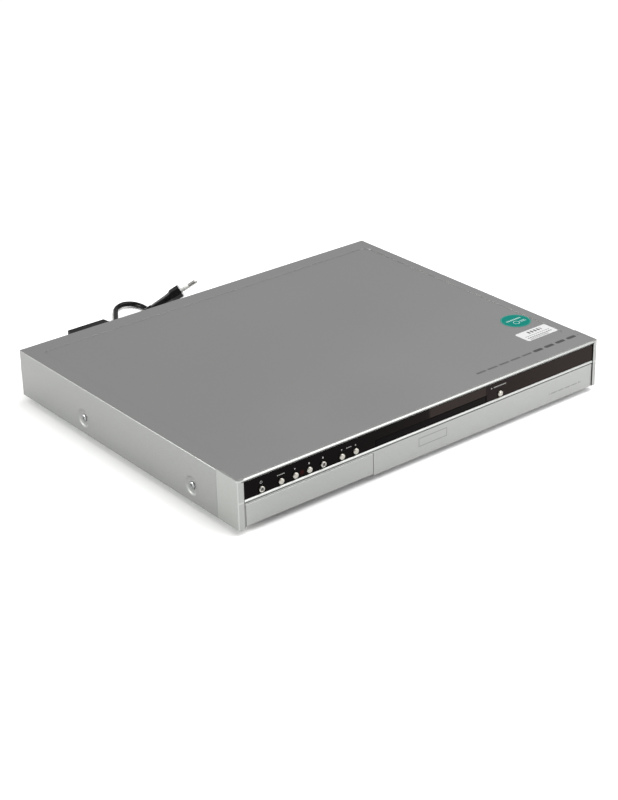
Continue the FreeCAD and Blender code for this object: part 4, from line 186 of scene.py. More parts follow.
class Finish:
    """One procedural finish, with the sums and textures that drive it."""

    def __init__(self, name, colour, roughness=0.5, metallic=0.0, **constants):
        self.material = bpy.data.materials.new(name)
        self.material.use_nodes = True
        self.material.diffuse_color = (*colour, 1)
        self.tree = self.material.node_tree
        self.shader = self.tree.nodes["Principled BSDF"]
        self.colour = tuple(colour)
        self.set("Base Color", (*colour, 1))
        self.set("Roughness", roughness)
        self.set("Metallic", metallic)
        for socket, value in constants.items():
            self.set(socket.replace("_", " ").title().replace("Ior", "IOR"), value)

    def node(self, kind, settings=None, inputs=None):
        """A node of a kind, its settings first and then the values or links of its sockets."""
        made = self.tree.nodes.new(kind)
        for key, value in (settings or {}).items():
            if key == "stops":
                band = made.color_ramp
                while len(band.elements) < len(value):
                    band.elements.new(0.5)
                for stop, (at, colour) in zip(band.elements, value):
                    stop.position = at
                    stop.color = (*colour, 1)
            else:
                setattr(made, key, value)
        for key, value in (inputs or {}).items():
            self.feed(made.inputs[key], value)
        return made

    def feed(self, socket, value):
        if isinstance(value, Amount):
            value = value.socket
        if isinstance(value, bpy.types.NodeSocket):
            self.tree.links.new(value, socket)
        else:
            if socket.type == "RGBA" and len(value) == 3:
                value = (*value, 1)
            socket.default_value = value

    def set(self, socket, value):
        self.feed(self.shader.inputs[socket], value)
        return self

    def maths(self, operation, *terms):
        made = self.node("ShaderNodeMath", {"operation": operation}, dict(enumerate(terms)))
        return Amount(self, made.outputs[0])

    def larger(self, first, second):
        return self.maths("MAXIMUM", first, second)

    def beat(self, amount, period):
        """How far an amount is through its period, from zero to one."""
        return self.maths("FRACT", amount / period)

    def away(self, across, up):
        return self.maths("SQRT", across ** 2 + up ** 2)

    def where(self):
        """The point on the surface, in metres."""
        return self.node("ShaderNodeTexCoord").outputs["Object"]

    def axes(self):
        """The point's three amounts in millimetres from the bench's zero."""
        parts = self.node("ShaderNodeSeparateXYZ", None, {0: self.where()})
        x, y, z = (Amount(self, parts.outputs[k]) for k in range(3))
        return x * 1000, y * 1000 - FRONT_SHIFT, z * 1000 - FOOT_RISE

    def noise(self, per_metre, detail=2.0, roughness=0.5, stretch=None):
        point = self.where()
        if stretch:
            point = self.node("ShaderNodeVectorMath", {"operation": "MULTIPLY"}, {0: point, 1: stretch}).outputs[0]
        made = self.node("ShaderNodeTexNoise", None, {
            "Vector": point, "Scale": per_metre, "Detail": detail, "Roughness": roughness})
        return Amount(self, made.outputs[0])

    def cells(self, per_metre):
        made = self.node("ShaderNodeTexVoronoi", None, {"Vector": self.where(), "Scale": per_metre})
        return Amount(self, made.outputs["Distance"])

    def spread(self, amount, low, high, first=0.0, last=1.0):
        made = self.node("ShaderNodeMapRange", {"interpolation_type": "SMOOTHSTEP"},
                         {"Value": amount, "From Min": low, "From Max": high, "To Min": first, "To Max": last})
        return Amount(self, made.outputs[0])

    def mix(self, mask, first, second):
        made = self.node("ShaderNodeMix", {"data_type": "RGBA"}, {0: mask, 6: first, 7: second})
        return made.outputs[2]

    def tone(self, mask, first, second):
        self.set("Base Color", self.mix(mask, first, second))

    def relief(self, height, strength, depth):
        bump = self.node("ShaderNodeBump", None, {"Height": height, "Strength": strength, "Distance": depth})
        self.set("Normal", bump.outputs[0])

    def worn(self, pattern, sides, tones, gloss_sides, gloss):
        """Colour between a darker and a paler tone, and gloss between two limits, both led by one pattern."""
        darker, paler = (shifted(self.colour, tone) for tone in tones)
        self.tone(self.spread(pattern, *sides), darker, paler)
        self.set("Roughness", self.spread(pattern, *gloss_sides, *gloss))

    def within(self, amount, low, high):
        """One between two limits and nothing outside them."""
        return (amount > low) * (amount < high)

    def patch(self, across, up, left, right, low, high):
        return self.within(across, left, right) * self.within(up, low, high)

    def on(self, *names):
        for name in names:
            mesh = NODES[name].data
            mesh.materials.clear()
            mesh.materials.append(self.material)
        return self


def shifted(colour, by):
    return tuple(max(0.0, min(1.0, part * by)) for part in colour)


def metal_flake(finish, colour, flake, softness=0.4):
    """Paint with fine flake, an even orange peel and a slightly uneven gloss."""
    grain = finish.noise(1900, 3, 0.7)
    broad = finish.noise(7)
    mask = finish.spread(grain, 0.3, 0.7)
    pale = finish.mix(mask, shifted(colour, 1 - flake), shifted(colour, 1 + flake))
    colour_out = finish.mix(finish.spread(broad, 0.3, 0.7) * 0.35, pale, shifted(colour, 0.95))
    finish.set("Base Color", colour_out)
    finish.set("Roughness", finish.spread(broad, 0.25, 0.75, softness - 0.03, softness + 0.05))
    finish.relief(finish.noise(1100, 2, 0.6), 0.16, 0.00006)
    return colour_out


def cover_paint(case):
    """Satin grey powder coat, with a row of small printed dashes on the front of its top."""
    finish = Finish("cover_paint", case.cover, 0.38, 0.85, specular_ior_level=0.3)
    colour = metal_flake(finish, tuple(case.cover), case.flake, 0.38)
    x, y, z = finish.axes()
    beat = finish.beat(x, 14.8)
    fine = finish.beat(x, 2.1)
    bars = finish.within(beat, 0.08, 0.9) * (fine < 0.8)
    block = finish.within(beat, 0.16, 0.84) * (x > 148)
    row = finish.within(x, *MARKS) * (z > COVER_TOP - 0.2)
    bars, block = bars * finish.within(y, 19.3, 22.0), block * finish.within(y, 18.6, 22.8)
    ink_share = row * finish.larger(bars * 0.75, block * 0.9)
    scuffs = finish.spread(finish.noise(26, 6, 0.75, (1, 0.25, 1)), 0.72, 0.86) * 0.25
    worn = finish.mix(scuffs, colour, shifted(tuple(case.cover), 1.25))
    finish.tone(ink_share, worn, (0.05, 0.05, 0.052))
    return finish


def silver_paint(case):
    """Silver paint of the front: painted highlights on the lip, on the ledge under the strip and on the left end cap's
    corner, painted shade in the grooves and end gaps, and printed dashes and a badge outline.
    """
    finish = Finish("silver_paint", case.silver, 0.34, 0.85, specular_ior_level=0.3)
    colour = metal_flake(finish, tuple(case.silver), case.flake * 0.7, 0.33)
    x, y, z = finish.axes()
    # Painted highlights: the lip's upper edge (strongest at the left, fading towards the right), the ledge under the
    # strip and the left end cap's front corner are painted paler, where their rounded edges catch the light.
    lip = finish.within(z, 45.4, 46.9) * (y < 2.6) * finish.spread(x, 260, -60)
    ledge = finish.within(z, 24.7, 26.2) * (y < 0.75)
    corner = (x < -213.9) * (y < 1.3)
    highlight_colour = finish.mix(finish.larger(finish.larger(lip, ledge), corner) * 0.9, colour, shifted(case.silver, 1.3))
    # Painted shade: the lower front of the lip, the groove above the flap and the vertical gaps at the strip's two
    # ends are painted near black, where shade falls in them.
    seam_shade = finish.larger(finish.within(z, 44.7, 45.35) * (y < 3), finish.patch(z, y, 23.75, 24.6, 0.85, 3))
    end_gap_shade = finish.patch(abs(x - STRIP_MIDDLE), z, 208.35, 209.1, 1, 44.9) * (y < 3)
    seam_shade = finish.larger(seam_shade * (abs(x) < 211), end_gap_shade)
    dashes = finish.patch(x, z, 152, 194, 8.4, 9.7) * (finish.beat(x, 2.3) < 0.7) * (y < 1.4)
    dashes = dashes * (finish.beat(x, 9.1) < 0.8) * 0.5
    left, right, low, high = BADGE
    plate = finish.patch(x, z, left, right, low, high)
    bare = finish.patch(x, z, left + BADGE_LINE, right - BADGE_LINE, low + BADGE_LINE, high - BADGE_LINE)
    dashes = finish.larger(dashes, (plate - bare) * (y < 1.4) * 0.55)
    finish.tone(finish.larger(seam_shade * 0.93, dashes), highlight_colour, BLACK)
    return finish


def polished_black(case):
    """Polished strip: faint smears, painted light that makes it lighter towards the right, a slightly brown display
    area and a small red point behind it.
    """
    finish = Finish("polished_black", case.strip, 0.12, specular_ior_level=0.02)
    x, y, z = finish.axes()
    smear = finish.spread(finish.noise(18, 5, 0.65, (0.4, 1, 1)), 0.45, 0.75)
    display = finish.spread(x, DISPLAY[0], 2) * (x < DISPLAY[1]) * (z > DISPLAY[2])
    # Painted light: the strip is painted lighter from the left towards the right, where the front catches more light.
    right = finish.spread(x, -120, 210)
    painted_light_tone = finish.mix(right, shifted(case.strip, 0.5), (0.019, 0.0145, 0.0135))
    lit = finish.mix(display * 0.85, painted_light_tone, (0.026, 0.02, 0.018))
    left, right, low, high = DRAWER
    drawer = finish.within(x, left, right) * (z < high)
    outline = finish.larger(finish.within(x, right, right + 1.2) * (z < high + 1.1),
                            finish.patch(x, z, DISPLAY[0], right + 1.2, high, high + 0.8))
    dark = finish.mix(finish.larger(drawer * 0.6, outline), lit, (0.002, 0.002, 0.002))
    left, right, low, high = STRIP
    corner_x = finish.larger(abs(x - STRIP_MIDDLE) - ((right - left) / 2 - STRIP_CORNER), 0.0)
    corner_z = finish.larger(abs(z - (low + high) / 2) - ((high - low) / 2 - STRIP_CORNER), 0.0)
    outside = finish.away(corner_x, corner_z) > STRIP_CORNER
    finish.tone(outside, dark, shifted(case.silver, 1.2))
    finish.set("Roughness", smear * 0.08 + 0.05)
    away = finish.away(x - RED_POINT[0], z - RED_POINT[1])
    finish.set("Emission Color", finish.mix(finish.spread(away, 3.4, 0.2), (0.0, 0.0, 0.0), (0.05, 0.002, 0.002)))
    finish.set("Emission Strength", 0.6)
    finish.relief(finish.noise(35), 0.03, 0.0003)
    return finish


def zinc_sheet():
    """Zinc plate with its crystal spangle and faint rolling lines."""
    finish = Finish("zinc_sheet", (0.56, 0.57, 0.58), 0.36, 1.0)
    spangle = finish.cells(260)
    crystals = finish.node("ShaderNodeTexVoronoi", None, {"Vector": finish.where(), "Scale": 260.0}).outputs["Color"]
    tint = Amount(finish, finish.node("ShaderNodeRGBToBW", None, {0: crystals}).outputs[0])
    rolled = finish.noise(700, 2, 0.6, (1, 0.03, 1))
    base = finish.mix(tint, (0.5, 0.51, 0.525), (0.64, 0.65, 0.655))
    finish.tone(finish.spread(rolled, 0.4, 0.7) * 0.4, base, (0.45, 0.46, 0.47))
    finish.set("Roughness", finish.spread(tint, 0, 1, 0.3, 0.46))
    finish.relief(rolled * 0.6 + spangle, 0.12, 0.00005)
    return finish


def moulded(name, colour, roughness=0.5, grain=1500, strength=0.22, **constants):
    """Moulded plastic with a spark-eroded grain and slight flow marks."""
    finish = Finish(name, colour, roughness, **constants)
    texture = finish.noise(grain, 3, 0.6)
    flow = finish.noise(24, 3, 0.5, (1, 0.4, 1))
    finish.worn(flow, (0.3, 0.7), (0.86, 1.12), (0.25, 0.75), (roughness - 0.05, roughness + 0.06))
    finish.relief(texture, strength, 0.00012)
    return finish


def rubber(name, colour):
    finish = Finish(name, colour, 0.78)
    dust = finish.spread(finish.noise(120, 5, 0.7), 0.5, 0.8)
    finish.tone(dust * 0.5, colour, (0.11, 0.108, 0.104))
    finish.set("Roughness", dust * 0.12 + 0.72)
    finish.relief(finish.noise(2200, 3, 0.7), 0.3, 0.0001)
    return finish


def circuit_board():
    """Glass fibre board: green mask over copper runs, tinned pads and white printing."""
    finish = Finish("circuit_board", (0.02, 0.12, 0.045), 0.32, coat_weight=0.3)
    x, y, z = finish.axes()
    runs = finish.larger(finish.within(finish.beat(x + finish.noise(55, 0) * 26, 3.1), 0.0, 0.36),
                         finish.within(finish.beat(y + finish.noise(48, 0) * 30, 4.3), 0.0, 0.28))
    dots = finish.cells(240) < 0.22
    print_mask = finish.within(finish.beat(x, 17), 0.46, 0.5) * (finish.noise(60, 0) > 0.5)
    mask = finish.mix(runs * 0.75, (0.012, 0.09, 0.035), (0.04, 0.2, 0.07))
    inked = finish.mix(print_mask * 0.8, mask, (0.72, 0.74, 0.7))
    finish.tone(dots, inked, (0.62, 0.62, 0.58))
    finish.set("Metallic", dots * 0.9)
    finish.set("Roughness", dots * 0.12 + 0.27)
    finish.relief(runs * 0.5 + dots, 0.25, 0.00005)
    return finish


def cast_metal(name, colour, grain=900, roughness=0.42):
    finish = Finish(name, colour, roughness, 1.0)
    skin = finish.noise(grain, 4, 0.7)
    finish.worn(skin, (0.35, 0.7), (0.82, 1.08), (0.3, 0.7), (roughness - 0.08, roughness + 0.08))
    finish.relief(skin, 0.25, 0.0001)
    return finish


def bright_steel(name, colour=(0.68, 0.69, 0.7), roughness=0.2):
    finish = Finish(name, colour, roughness, 1.0)
    marks = finish.noise(1300, 3, 0.6, (1, 0.15, 0.6))
    finish.worn(marks, (0.35, 0.7), (0.85, 1.05), (0.3, 0.7), (roughness - 0.05, roughness + 0.12))
    finish.relief(marks, 0.08, 0.00004)
    return finish


def disk_mirror():
    """Polished platters with the faintest rings."""
    finish = Finish("disk_mirror", (0.82, 0.82, 0.84), 0.06, 1.0)
    x, y, z = finish.axes()
    away = finish.away(x - PLATTER_MIDDLE[0], y - PLATTER_MIDDLE[1])
    rings = finish.noise(3, 1) * 0.2 + finish.maths("SINE", away * 9) * 0.5
    finish.set("Roughness", finish.spread(rings, -0.5, 0.7, 0.04, 0.09))
    finish.tone(finish.spread(away, 14, 16), (0.55, 0.55, 0.56), (0.82, 0.82, 0.84))
    finish.relief(rings, 0.02, 0.00002)
    return finish


def tray_plastic():
    """Dark grey drawer: fine rings in the disc's well and a moulding grain."""
    colour = (0.03, 0.031, 0.034)
    finish = Finish("tray_plastic", colour, 0.45)
    x, y, z = finish.axes()
    away = finish.away(x - WELL_MIDDLE[0], y - WELL_MIDDLE[1])
    well = finish.within(away, 22, 60)
    rings = finish.maths("SINE", away * 5.2) * well
    finish.tone(finish.spread(rings, 0.7, 1.0), colour, (0.05, 0.052, 0.057))
    finish.set("Roughness", finish.spread(finish.noise(500, 3), 0.3, 0.7, 0.38, 0.55))
    finish.relief(rings * 0.6 + finish.noise(1600) * 0.4, 0.22, 0.00012)
    return finish


def display_glass():
    """Dark glass tube with its segments' faint grid behind."""
    finish = Finish("display_glass", (0.035, 0.05, 0.05), 0.07, coat_weight=1.0)
    x, y, z = finish.axes()
    grid = finish.within(finish.beat(x, 5.6), 0.12, 0.8) * finish.within(finish.beat(z, 3.5), 0.2, 0.8)
    finish.tone(grid, (0.015, 0.02, 0.02), (0.09, 0.12, 0.11))
    finish.set("Roughness", grid * 0.1 + 0.06)
    return finish


def ring_distance(finish, x, z, first_x, pitch, first_z, rise):
    """Distance from the nearest of a grid of round sockets."""
    across = finish.beat(x - (first_x - pitch / 2), pitch) * pitch - pitch / 2
    up = finish.beat(z - (first_z - rise / 2), rise) * rise - rise / 2
    return finish.away(across, up)


def phono_finish(name, first_x, pitch, first_z, rise, front):
    """Round sockets: nickel barrels with coloured rings on a black block."""
    finish = Finish(name, (0.02, 0.02, 0.021), 0.45)
    x, y, z = finish.axes()
    away = ring_distance(finish, x, z, first_x, pitch, first_z, rise)
    step = finish.maths("FLOOR", (x - (first_x - pitch / 2)) / pitch)
    third = finish.beat(step + 0.5, 3)
    yellow, white, red = (0.85, 0.55, 0.02), (0.78, 0.78, 0.76), (0.62, 0.02, 0.02)
    ring = finish.mix(third > 0.6, finish.mix(third > 0.3, yellow, white), red)
    proud = (y > 347) if not front else finish.within(y, 4, 13.9)
    barrel = finish.within(away, 3.55, 4.4) * proud
    face = finish.within(away, 1.0, 3.56) * proud
    grain = finish.noise(1400)
    body = finish.mix(finish.spread(grain, 0.3, 0.7), (0.016, 0.016, 0.017), (0.027, 0.027, 0.029))
    finish.tone(barrel, finish.mix(face, body, ring), (0.75, 0.74, 0.71))
    finish.set("Metallic", barrel)
    finish.set("Roughness", barrel * -0.2 + grain * 0.1 + 0.4)
    finish.relief(grain, 0.12, 0.00008)
    return finish


def pin_finish(heading, start, half):
    """Plug pins: a pale sleeve on the half by the plug and bare metal on the rest."""
    finish = Finish("pin_metal", (0.55, 0.54, 0.52), 0.28, 1.0)
    offset = finish.node("ShaderNodeVectorMath", {"operation": "SUBTRACT"}, {0: finish.where(), 1: tuple(start)})
    along = Amount(finish, finish.node("ShaderNodeVectorMath", {"operation": "DOT_PRODUCT"}, {
        0: offset.outputs[0], 1: tuple(heading)}).outputs["Value"])
    bare = finish.spread(along, half - 0.0002, half + 0.0002)
    wear = finish.noise(1500, 2, 0.6)
    metal = finish.mix(wear, (0.36, 0.35, 0.34), (0.52, 0.51, 0.49))
    finish.tone(bare, (0.62, 0.62, 0.6), metal)
    finish.set("Metallic", bare)
    finish.set("Roughness", bare * -0.12 + 0.42 + wear * 0.08)
    finish.relief(wear, 0.05, 0.00004)
    return finish


def ink(name, colour):
    finish = Finish(name, colour)
    specks = finish.noise(2500)
    finish.tone(finish.spread(specks, 0.4, 0.75) * 0.4, colour, shifted(colour, 0.8))
    finish.relief(specks, 0.1, 0.00003)
    return finish


def sticker_teal(case):
    """Teal film with a pale ring band and two plain bars."""
    finish = Finish("sticker_teal", case.sticker, 0.32, specular_ior_level=0.02)
    x, y, z = finish.axes()
    dx, dy = x - STICKER_MIDDLE[0], y - STICKER_MIDDLE[1]
    away = finish.away(dx, dy)
    ring = finish.within(finish.away(dx + 2.2, dy + 3.4), 2.7, 3.4)
    upper = finish.patch(dx, dy, -9.6, 9.6, 2.2, 4.4) * (finish.beat(x, 2.3) < 0.72)
    lower = finish.within(dx, 2.4, 9.4) * finish.larger(finish.within(dy, -3.2, -2.2), finish.within(dy, -5.2, -4.4))
    bars = finish.larger(upper, lower)
    rim = finish.within(away, 14.0, 14.5)
    mask = finish.larger(finish.larger(ring, bars) * (away < 12.6), rim * 0.35)
    darker, paler = (shifted(case.sticker, tone) for tone in (0.85, 1.1))
    film = finish.mix(finish.noise(300, 3) * 0.4, darker, paler)
    finish.tone(mask * 0.9, film, (0.3, 0.42, 0.4))
    finish.relief(finish.noise(90), 0.05, 0.0002)
    return finish


def sticker_white():
    """White paper label with a few plain grey bars."""
    finish = Finish("sticker_white", (0.8, 0.8, 0.81), 0.6, specular_ior_level=0.02)
    x, y, z = finish.axes()
    left, right, low, high = LABEL
    across, up = (x - left) / (right - left), (y - low) / (high - low)
    band = finish.larger(finish.within(up, 0.22, 0.3), finish.within(up, 0.42, 0.47)) * finish.within(across, 0.1, 0.9)
    fine = finish.patch(up, across, 0.62, 0.86, 0.28, 0.76) * (finish.beat(x, 4.1) < 0.6)
    stripes = finish.patch(up, across, 0.05, 0.17, 0.1, 0.72) * (finish.beat(x, 1.1) < 0.45)
    mask = finish.larger(finish.larger(band * (finish.beat(x, 2.7) < 0.7), fine), stripes)
    paper = finish.mix(finish.noise(900, 4, 0.7), (0.43, 0.43, 0.435), (0.48, 0.48, 0.485))
    finish.tone(mask * 0.85, paper, (0.045, 0.045, 0.047))
    finish.relief(finish.noise(1200, 3), 0.12, 0.00005)
    return finish


def lead_finish(lead):
    finish = Finish("lead_black", lead.colour, 0.2, specular_ior_level=0.12)
    skin = finish.noise(420, 3)
    finish.worn(skin, (0.3, 0.7), (0.8, 1.5), (0.3, 0.7), (0.16, 0.27))
    finish.relief(skin, 0.06, 0.0001)
    return finish


# ---- Making pieces


def link(mesh, name, body, material):
    """Puts a finished mesh into the scene, riding on a body."""
    piece = bpy.data.objects.new(name, mesh)
    bpy.context.scene.collection.objects.link(piece)
    if material is not None:
        mesh.materials.clear()
        mesh.materials.append(material)
    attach(piece, body)
    return piece


def finished(made, name):
    """Turns a built form into a mesh whose faces all look outwards."""
    bmesh.ops.recalc_face_normals(made, faces=made.faces)
    mesh = bpy.data.meshes.new(name)
    made.to_mesh(mesh)
    made.free()
    return mesh


def skin(made, rings):
    """Faces between neighbouring closed rings of corners."""
    for first, second in zip(rings, rings[1:]):
        for k in range(len(first)):
            n = (k + 1) % len(first)
            made.faces.new((first[k], first[n], second[n], second[k]))


def smooth(mesh, degrees=38):
    for face in mesh.polygons:
        face.use_smooth = True
    mesh.set_sharp_from_angle(angle=radians(degrees))


def softened(node, width, material):
    """A copy of a node with its loose triangles joined and its edges rounded, shown in the node's place."""
    source = NODES[node]
    made = bmesh.new()
    made.from_mesh(source.data)
    bmesh.ops.remove_doubles(made, verts=made.verts, dist=2e-6)
    flat, sharp = radians(0.8), radians(25)
    bmesh.ops.dissolve_limit(made, angle_limit=flat, verts=made.verts, edges=made.edges, delimit={"NORMAL"})
    edges = [e for e in made.edges
             if len(e.link_faces) == 2 and e.calc_face_angle(0) > sharp and e.calc_length() > width / 2]
    bmesh.ops.bevel(made, geom=edges, offset=width, offset_type="OFFSET", segments=2, profile=0.5,
                    affect="EDGES", clamp_overlap=True)
    mesh = finished(made, node + "_moulded")
    smooth(mesh)
    piece = link(mesh, node + "_moulded", source["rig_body"], material)
    harden = piece.modifiers.new("even_faces", "WEIGHTED_NORMAL")
    harden.keep_sharp = True
    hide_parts(node)
    return piece


def turned_mesh(name, profile, steps=48):
    """A closed form turned about Z from (radius, height) points that start and end on the axis."""
    made = bmesh.new()
    rings = []
    for radius, height in profile:
        if radius == 0:
            rings.append([made.verts.new((0, 0, height))])
        else:
            angles = [TURN * k / steps for k in range(steps)]
            rings.append([made.verts.new((radius * cos(a), radius * sin(a), height)) for a in angles])
    for first, second in zip(rings, rings[1:]):
        for k in range(steps):
            n = (k + 1) % steps
            if len(first) == 1:
                made.faces.new((first[0], second[k], second[n]))
            elif len(second) == 1:
                made.faces.new((first[k], first[n], second[0]))
            else:
                made.faces.new((first[k], first[n], second[n], second[k]))
    mesh = finished(made, name)
    smooth(mesh)
    return mesh


def flat_shapes(name, outlines, place, thickness):
    """Thin raised shapes: each outline is a list of (across, up) millimetres, and place maps them to the row."""
    made = bmesh.new()
    for outline in outlines:
        front = [made.verts.new(place(a, u, 0.0)) for a, u in outline]
        back = [made.verts.new(place(a, u, thickness)) for a, u in outline]
        made.faces.new(front)
        made.faces.new(back[::-1])
        skin(made, (back, front))
    return finished(made, name)


def disc(across, up, radius, steps):
    angles = [TURN * k / steps for k in range(steps)]
    return [(across + radius * cos(a), up + radius * sin(a)) for a in angles]


def bar(across, up, wide, tall):
    return [(across + a * wide / 2, up + u * tall / 2) for a, u in ((-1, -1), (1, -1), (1, 1), (-1, 1))]


def arrow(across, up, wide, tall):
    return [(across - wide / 2, up - tall / 2), (across + wide / 2, up), (across - wide / 2, up + tall / 2)]


def lifted(across, up, wide, tall):
    return [(across - wide / 2, up - tall / 2), (across + wide / 2, up - tall / 2), (across, up + tall / 2)]


# ---- Geometry Nodes: what repeats


def repeat_tree(name):
    """Sets a piece on every point of a mesh, along the point's facing, and gives it one material."""
    tree = bpy.data.node_groups.new(name, "GeometryNodeTree")
    inputs = {"Places": "Geometry", "Piece": "Object", "Size": "Float", "Turn": "Float", "Material": "Material"}
    for label, kind in inputs.items():
        tree.interface.new_socket(label, in_out="INPUT", socket_type="NodeSocket" + kind)
    tree.interface.new_socket("Pieces", in_out="OUTPUT", socket_type="NodeSocketGeometry")
    make = tree.nodes.new
    into, out = make("NodeGroupInput"), make("NodeGroupOutput")
    piece = make("GeometryNodeObjectInfo")
    facing = make("GeometryNodeInputNamedAttribute")
    facing.data_type = "FLOAT_VECTOR"
    facing.inputs["Name"].default_value = "facing"
    align = make("FunctionNodeAlignRotationToVector")
    align.axis = "Z"
    spin = make("FunctionNodeAxisAngleToRotation")
    spin.inputs["Axis"].default_value = (0, 0, 1)
    index = make("GeometryNodeInputIndex")
    chance = make("FunctionNodeRandomValue")
    chance.data_type = "FLOAT"
    chance.inputs["Seed"].default_value = 7
    vary = make("ShaderNodeMath")
    vary.operation = "MULTIPLY"
    turn = make("FunctionNodeRotateRotation")
    turn.rotation_space = "LOCAL"
    place = make("GeometryNodeInstanceOnPoints")
    real = make("GeometryNodeRealizeInstances")
    coat = make("GeometryNodeSetMaterial")
    for start, output, end, socket in (
            (into, "Piece", piece, "Object"), (facing, "Attribute", align, "Vector"), (index, 0, chance, "ID"),
            (chance, "Value", vary, 0), (into, "Turn", vary, 1), (vary, 0, spin, "Angle"),
            (align, "Rotation", turn, "Rotation"), (spin, "Rotation", turn, "Rotate By"),
            (into, "Places", place, "Points"), (piece, "Geometry", place, "Instance"),
            (turn, "Rotation", place, "Rotation"), (into, "Size", place, "Scale"),
            (place, "Instances", real, "Geometry"), (real, "Geometry", coat, "Geometry"),
            (into, "Material", coat, "Material"), (coat, "Geometry", out, "Pieces")):
        tree.links.new(start.outputs[output], end.inputs[socket])
    return tree


def repeated(name, pattern, places, body, material, turn):
    """Copies of a pattern mesh at places, each a point and the way it faces, as one plain mesh."""
    tree = bpy.data.node_groups.get("set_out_pieces") or repeat_tree("set_out_pieces")
    seats = bpy.data.meshes.new(name + "_seats")
    seats.from_pydata([tuple(point) for point, facing in places], [], [])
    facing = seats.attributes.new("facing", "FLOAT_VECTOR", "POINT")
    facing.data.foreach_set("vector", [part for point, way in places for part in way])
    sample = bpy.data.objects.new(name + "_sample", pattern)
    carrier = bpy.data.objects.new(name + "_carrier", seats)
    collection = bpy.context.scene.collection.objects
    collection.link(sample)
    collection.link(carrier)
    growing = carrier.modifiers.new("set_out", "NODES")
    growing.node_group = tree
    values = {"Piece": sample, "Size": 1.0, "Turn": turn, "Material": material}
    for socket in tree.interface.items_tree:
        if socket.in_out == "INPUT" and socket.name in values:
            growing[socket.identifier] = values[socket.name]
    bpy.context.view_layer.update()
    evaluated = carrier.evaluated_get(bpy.context.evaluated_depsgraph_get())
    mesh = bpy.data.meshes.new_from_object(evaluated)
    mesh.name = name
    for helper in (sample, carrier):
        bpy.data.objects.remove(helper)
    smooth(mesh)
    if not mesh.polygons:
        raise RuntimeError(name + " came out empty")
    return link(mesh, name, body, None if mesh.materials else material)


def screw_head(radius=3.8, rise=1.4, cross=2.1, slot=0.42, steps=48):
    """A pan head with a cross recess, its seat at zero and its crown up."""
    made = bmesh.new()
    shares = ((1, 0.0), (1, 0.35), (0.93, 0.62), (0.78, 0.86), (0.62, 1))
    rings = [[made.verts.new(metres(a, b, rise * share)) for a, b in disc(0, 0, radius * width, steps)]
             for width, share in shares]
    skin(made, rings)
    points = [(cross, slot), (slot, slot), (slot, cross)]
    outline = []
    for quarter in range(4):
        c, s = cos(TURN * quarter / 4), sin(TURN * quarter / 4)
        outline += [(a * c - b * s, a * s + b * c) for a, b in points]
    mouth, floor = ([made.verts.new(metres(a * share, b * share, high)) for a, b in outline]
                    for share, high in ((1, rise), (0.55, rise - 0.95)))
    skin(made, (mouth, floor))
    made.faces.new(floor)
    rims = [made.edges.get((ring[k - 1], ring[k])) for ring in (rings[-1], mouth) for k in range(len(ring))]
    bmesh.ops.triangle_fill(made, edges=rims, use_beauty=True)
    made.faces.new(rings[0][::-1])
    return finished(made, "screw_head")


# ---- Pieces


class PieceOperator(bpy.types.Operator):
    """Shared by every piece's operator"""
    bl_options = {"REGISTER", "UNDO"}


class RECORDER_OT_stage(PieceOperator):
    """Camera, plain floor and soft light"""
    bl_idname = "recorder.stage"
    bl_label = "Stage"

    def execute(self, context):
        stage = context.scene.recorder_stage
        camera = bpy.data.objects.new("camera", bpy.data.cameras.new("camera"))
        camera.location = (-1.00915, -1.28673, 0.79803)
        camera.rotation_euler = [radians(a) for a in (63.7467, 1.1888, -38.8272)]
        camera.data.lens = stage.lens
        camera.data.sensor_width = 36
        context.scene.collection.objects.link(camera)
        context.scene.camera = camera

        bpy.ops.mesh.primitive_plane_add(size=12)
        floor = context.object
        floor.name = "floor"
        paper = Finish("floor_paper", stage.floor, 0.9, specular_ior_level=0.1)
        paper.tone(paper.noise(3), stage.floor, shifted(stage.floor, 0.985))
        floor.data.materials.append(paper.material)

        world = bpy.data.worlds.new("studio")
        world.use_nodes = True
        sky = world.node_tree.nodes["Background"]
        sky.inputs["Color"].default_value = (1, 1, 1, 1)
        sky.inputs["Strength"].default_value = stage.dome
        context.scene.world = world
        context.scene.view_settings.view_transform = "Standard"

        def soft_light(name, power, size, place, target, tint):
            lamp = bpy.data.lights.new(name, "AREA")
            lamp.shape = "RECTANGLE"
            lamp.size, lamp.size_y = size
            lamp.energy = power
            lamp.color = tint
            light = bpy.data.objects.new(name, lamp)
            light.location = place
            light.rotation_euler = (Vector(target) - Vector(place)).to_track_quat("-Z", "Y").to_euler()
            context.scene.collection.objects.link(light)

        greenish, white = (0.98, 1.0, 0.945), (1.0, 1.0, 1.0)
        soft_light("left_light", stage.side, (1.3, 0.7), (-2.23, 1.1, 0.6), (0, 0, 0.03), greenish)
        soft_light("right_light", stage.front, (0.3, 0.12), (0.27, -0.55, 0.09), (0.2, -0.18, 0.02), white)
        soft_light("high_light", stage.over, (2.0, 2.0), (0.6, -0.5, 1.6), (0.1, -0.1, 0.0), white)
        return {"FINISHED"}


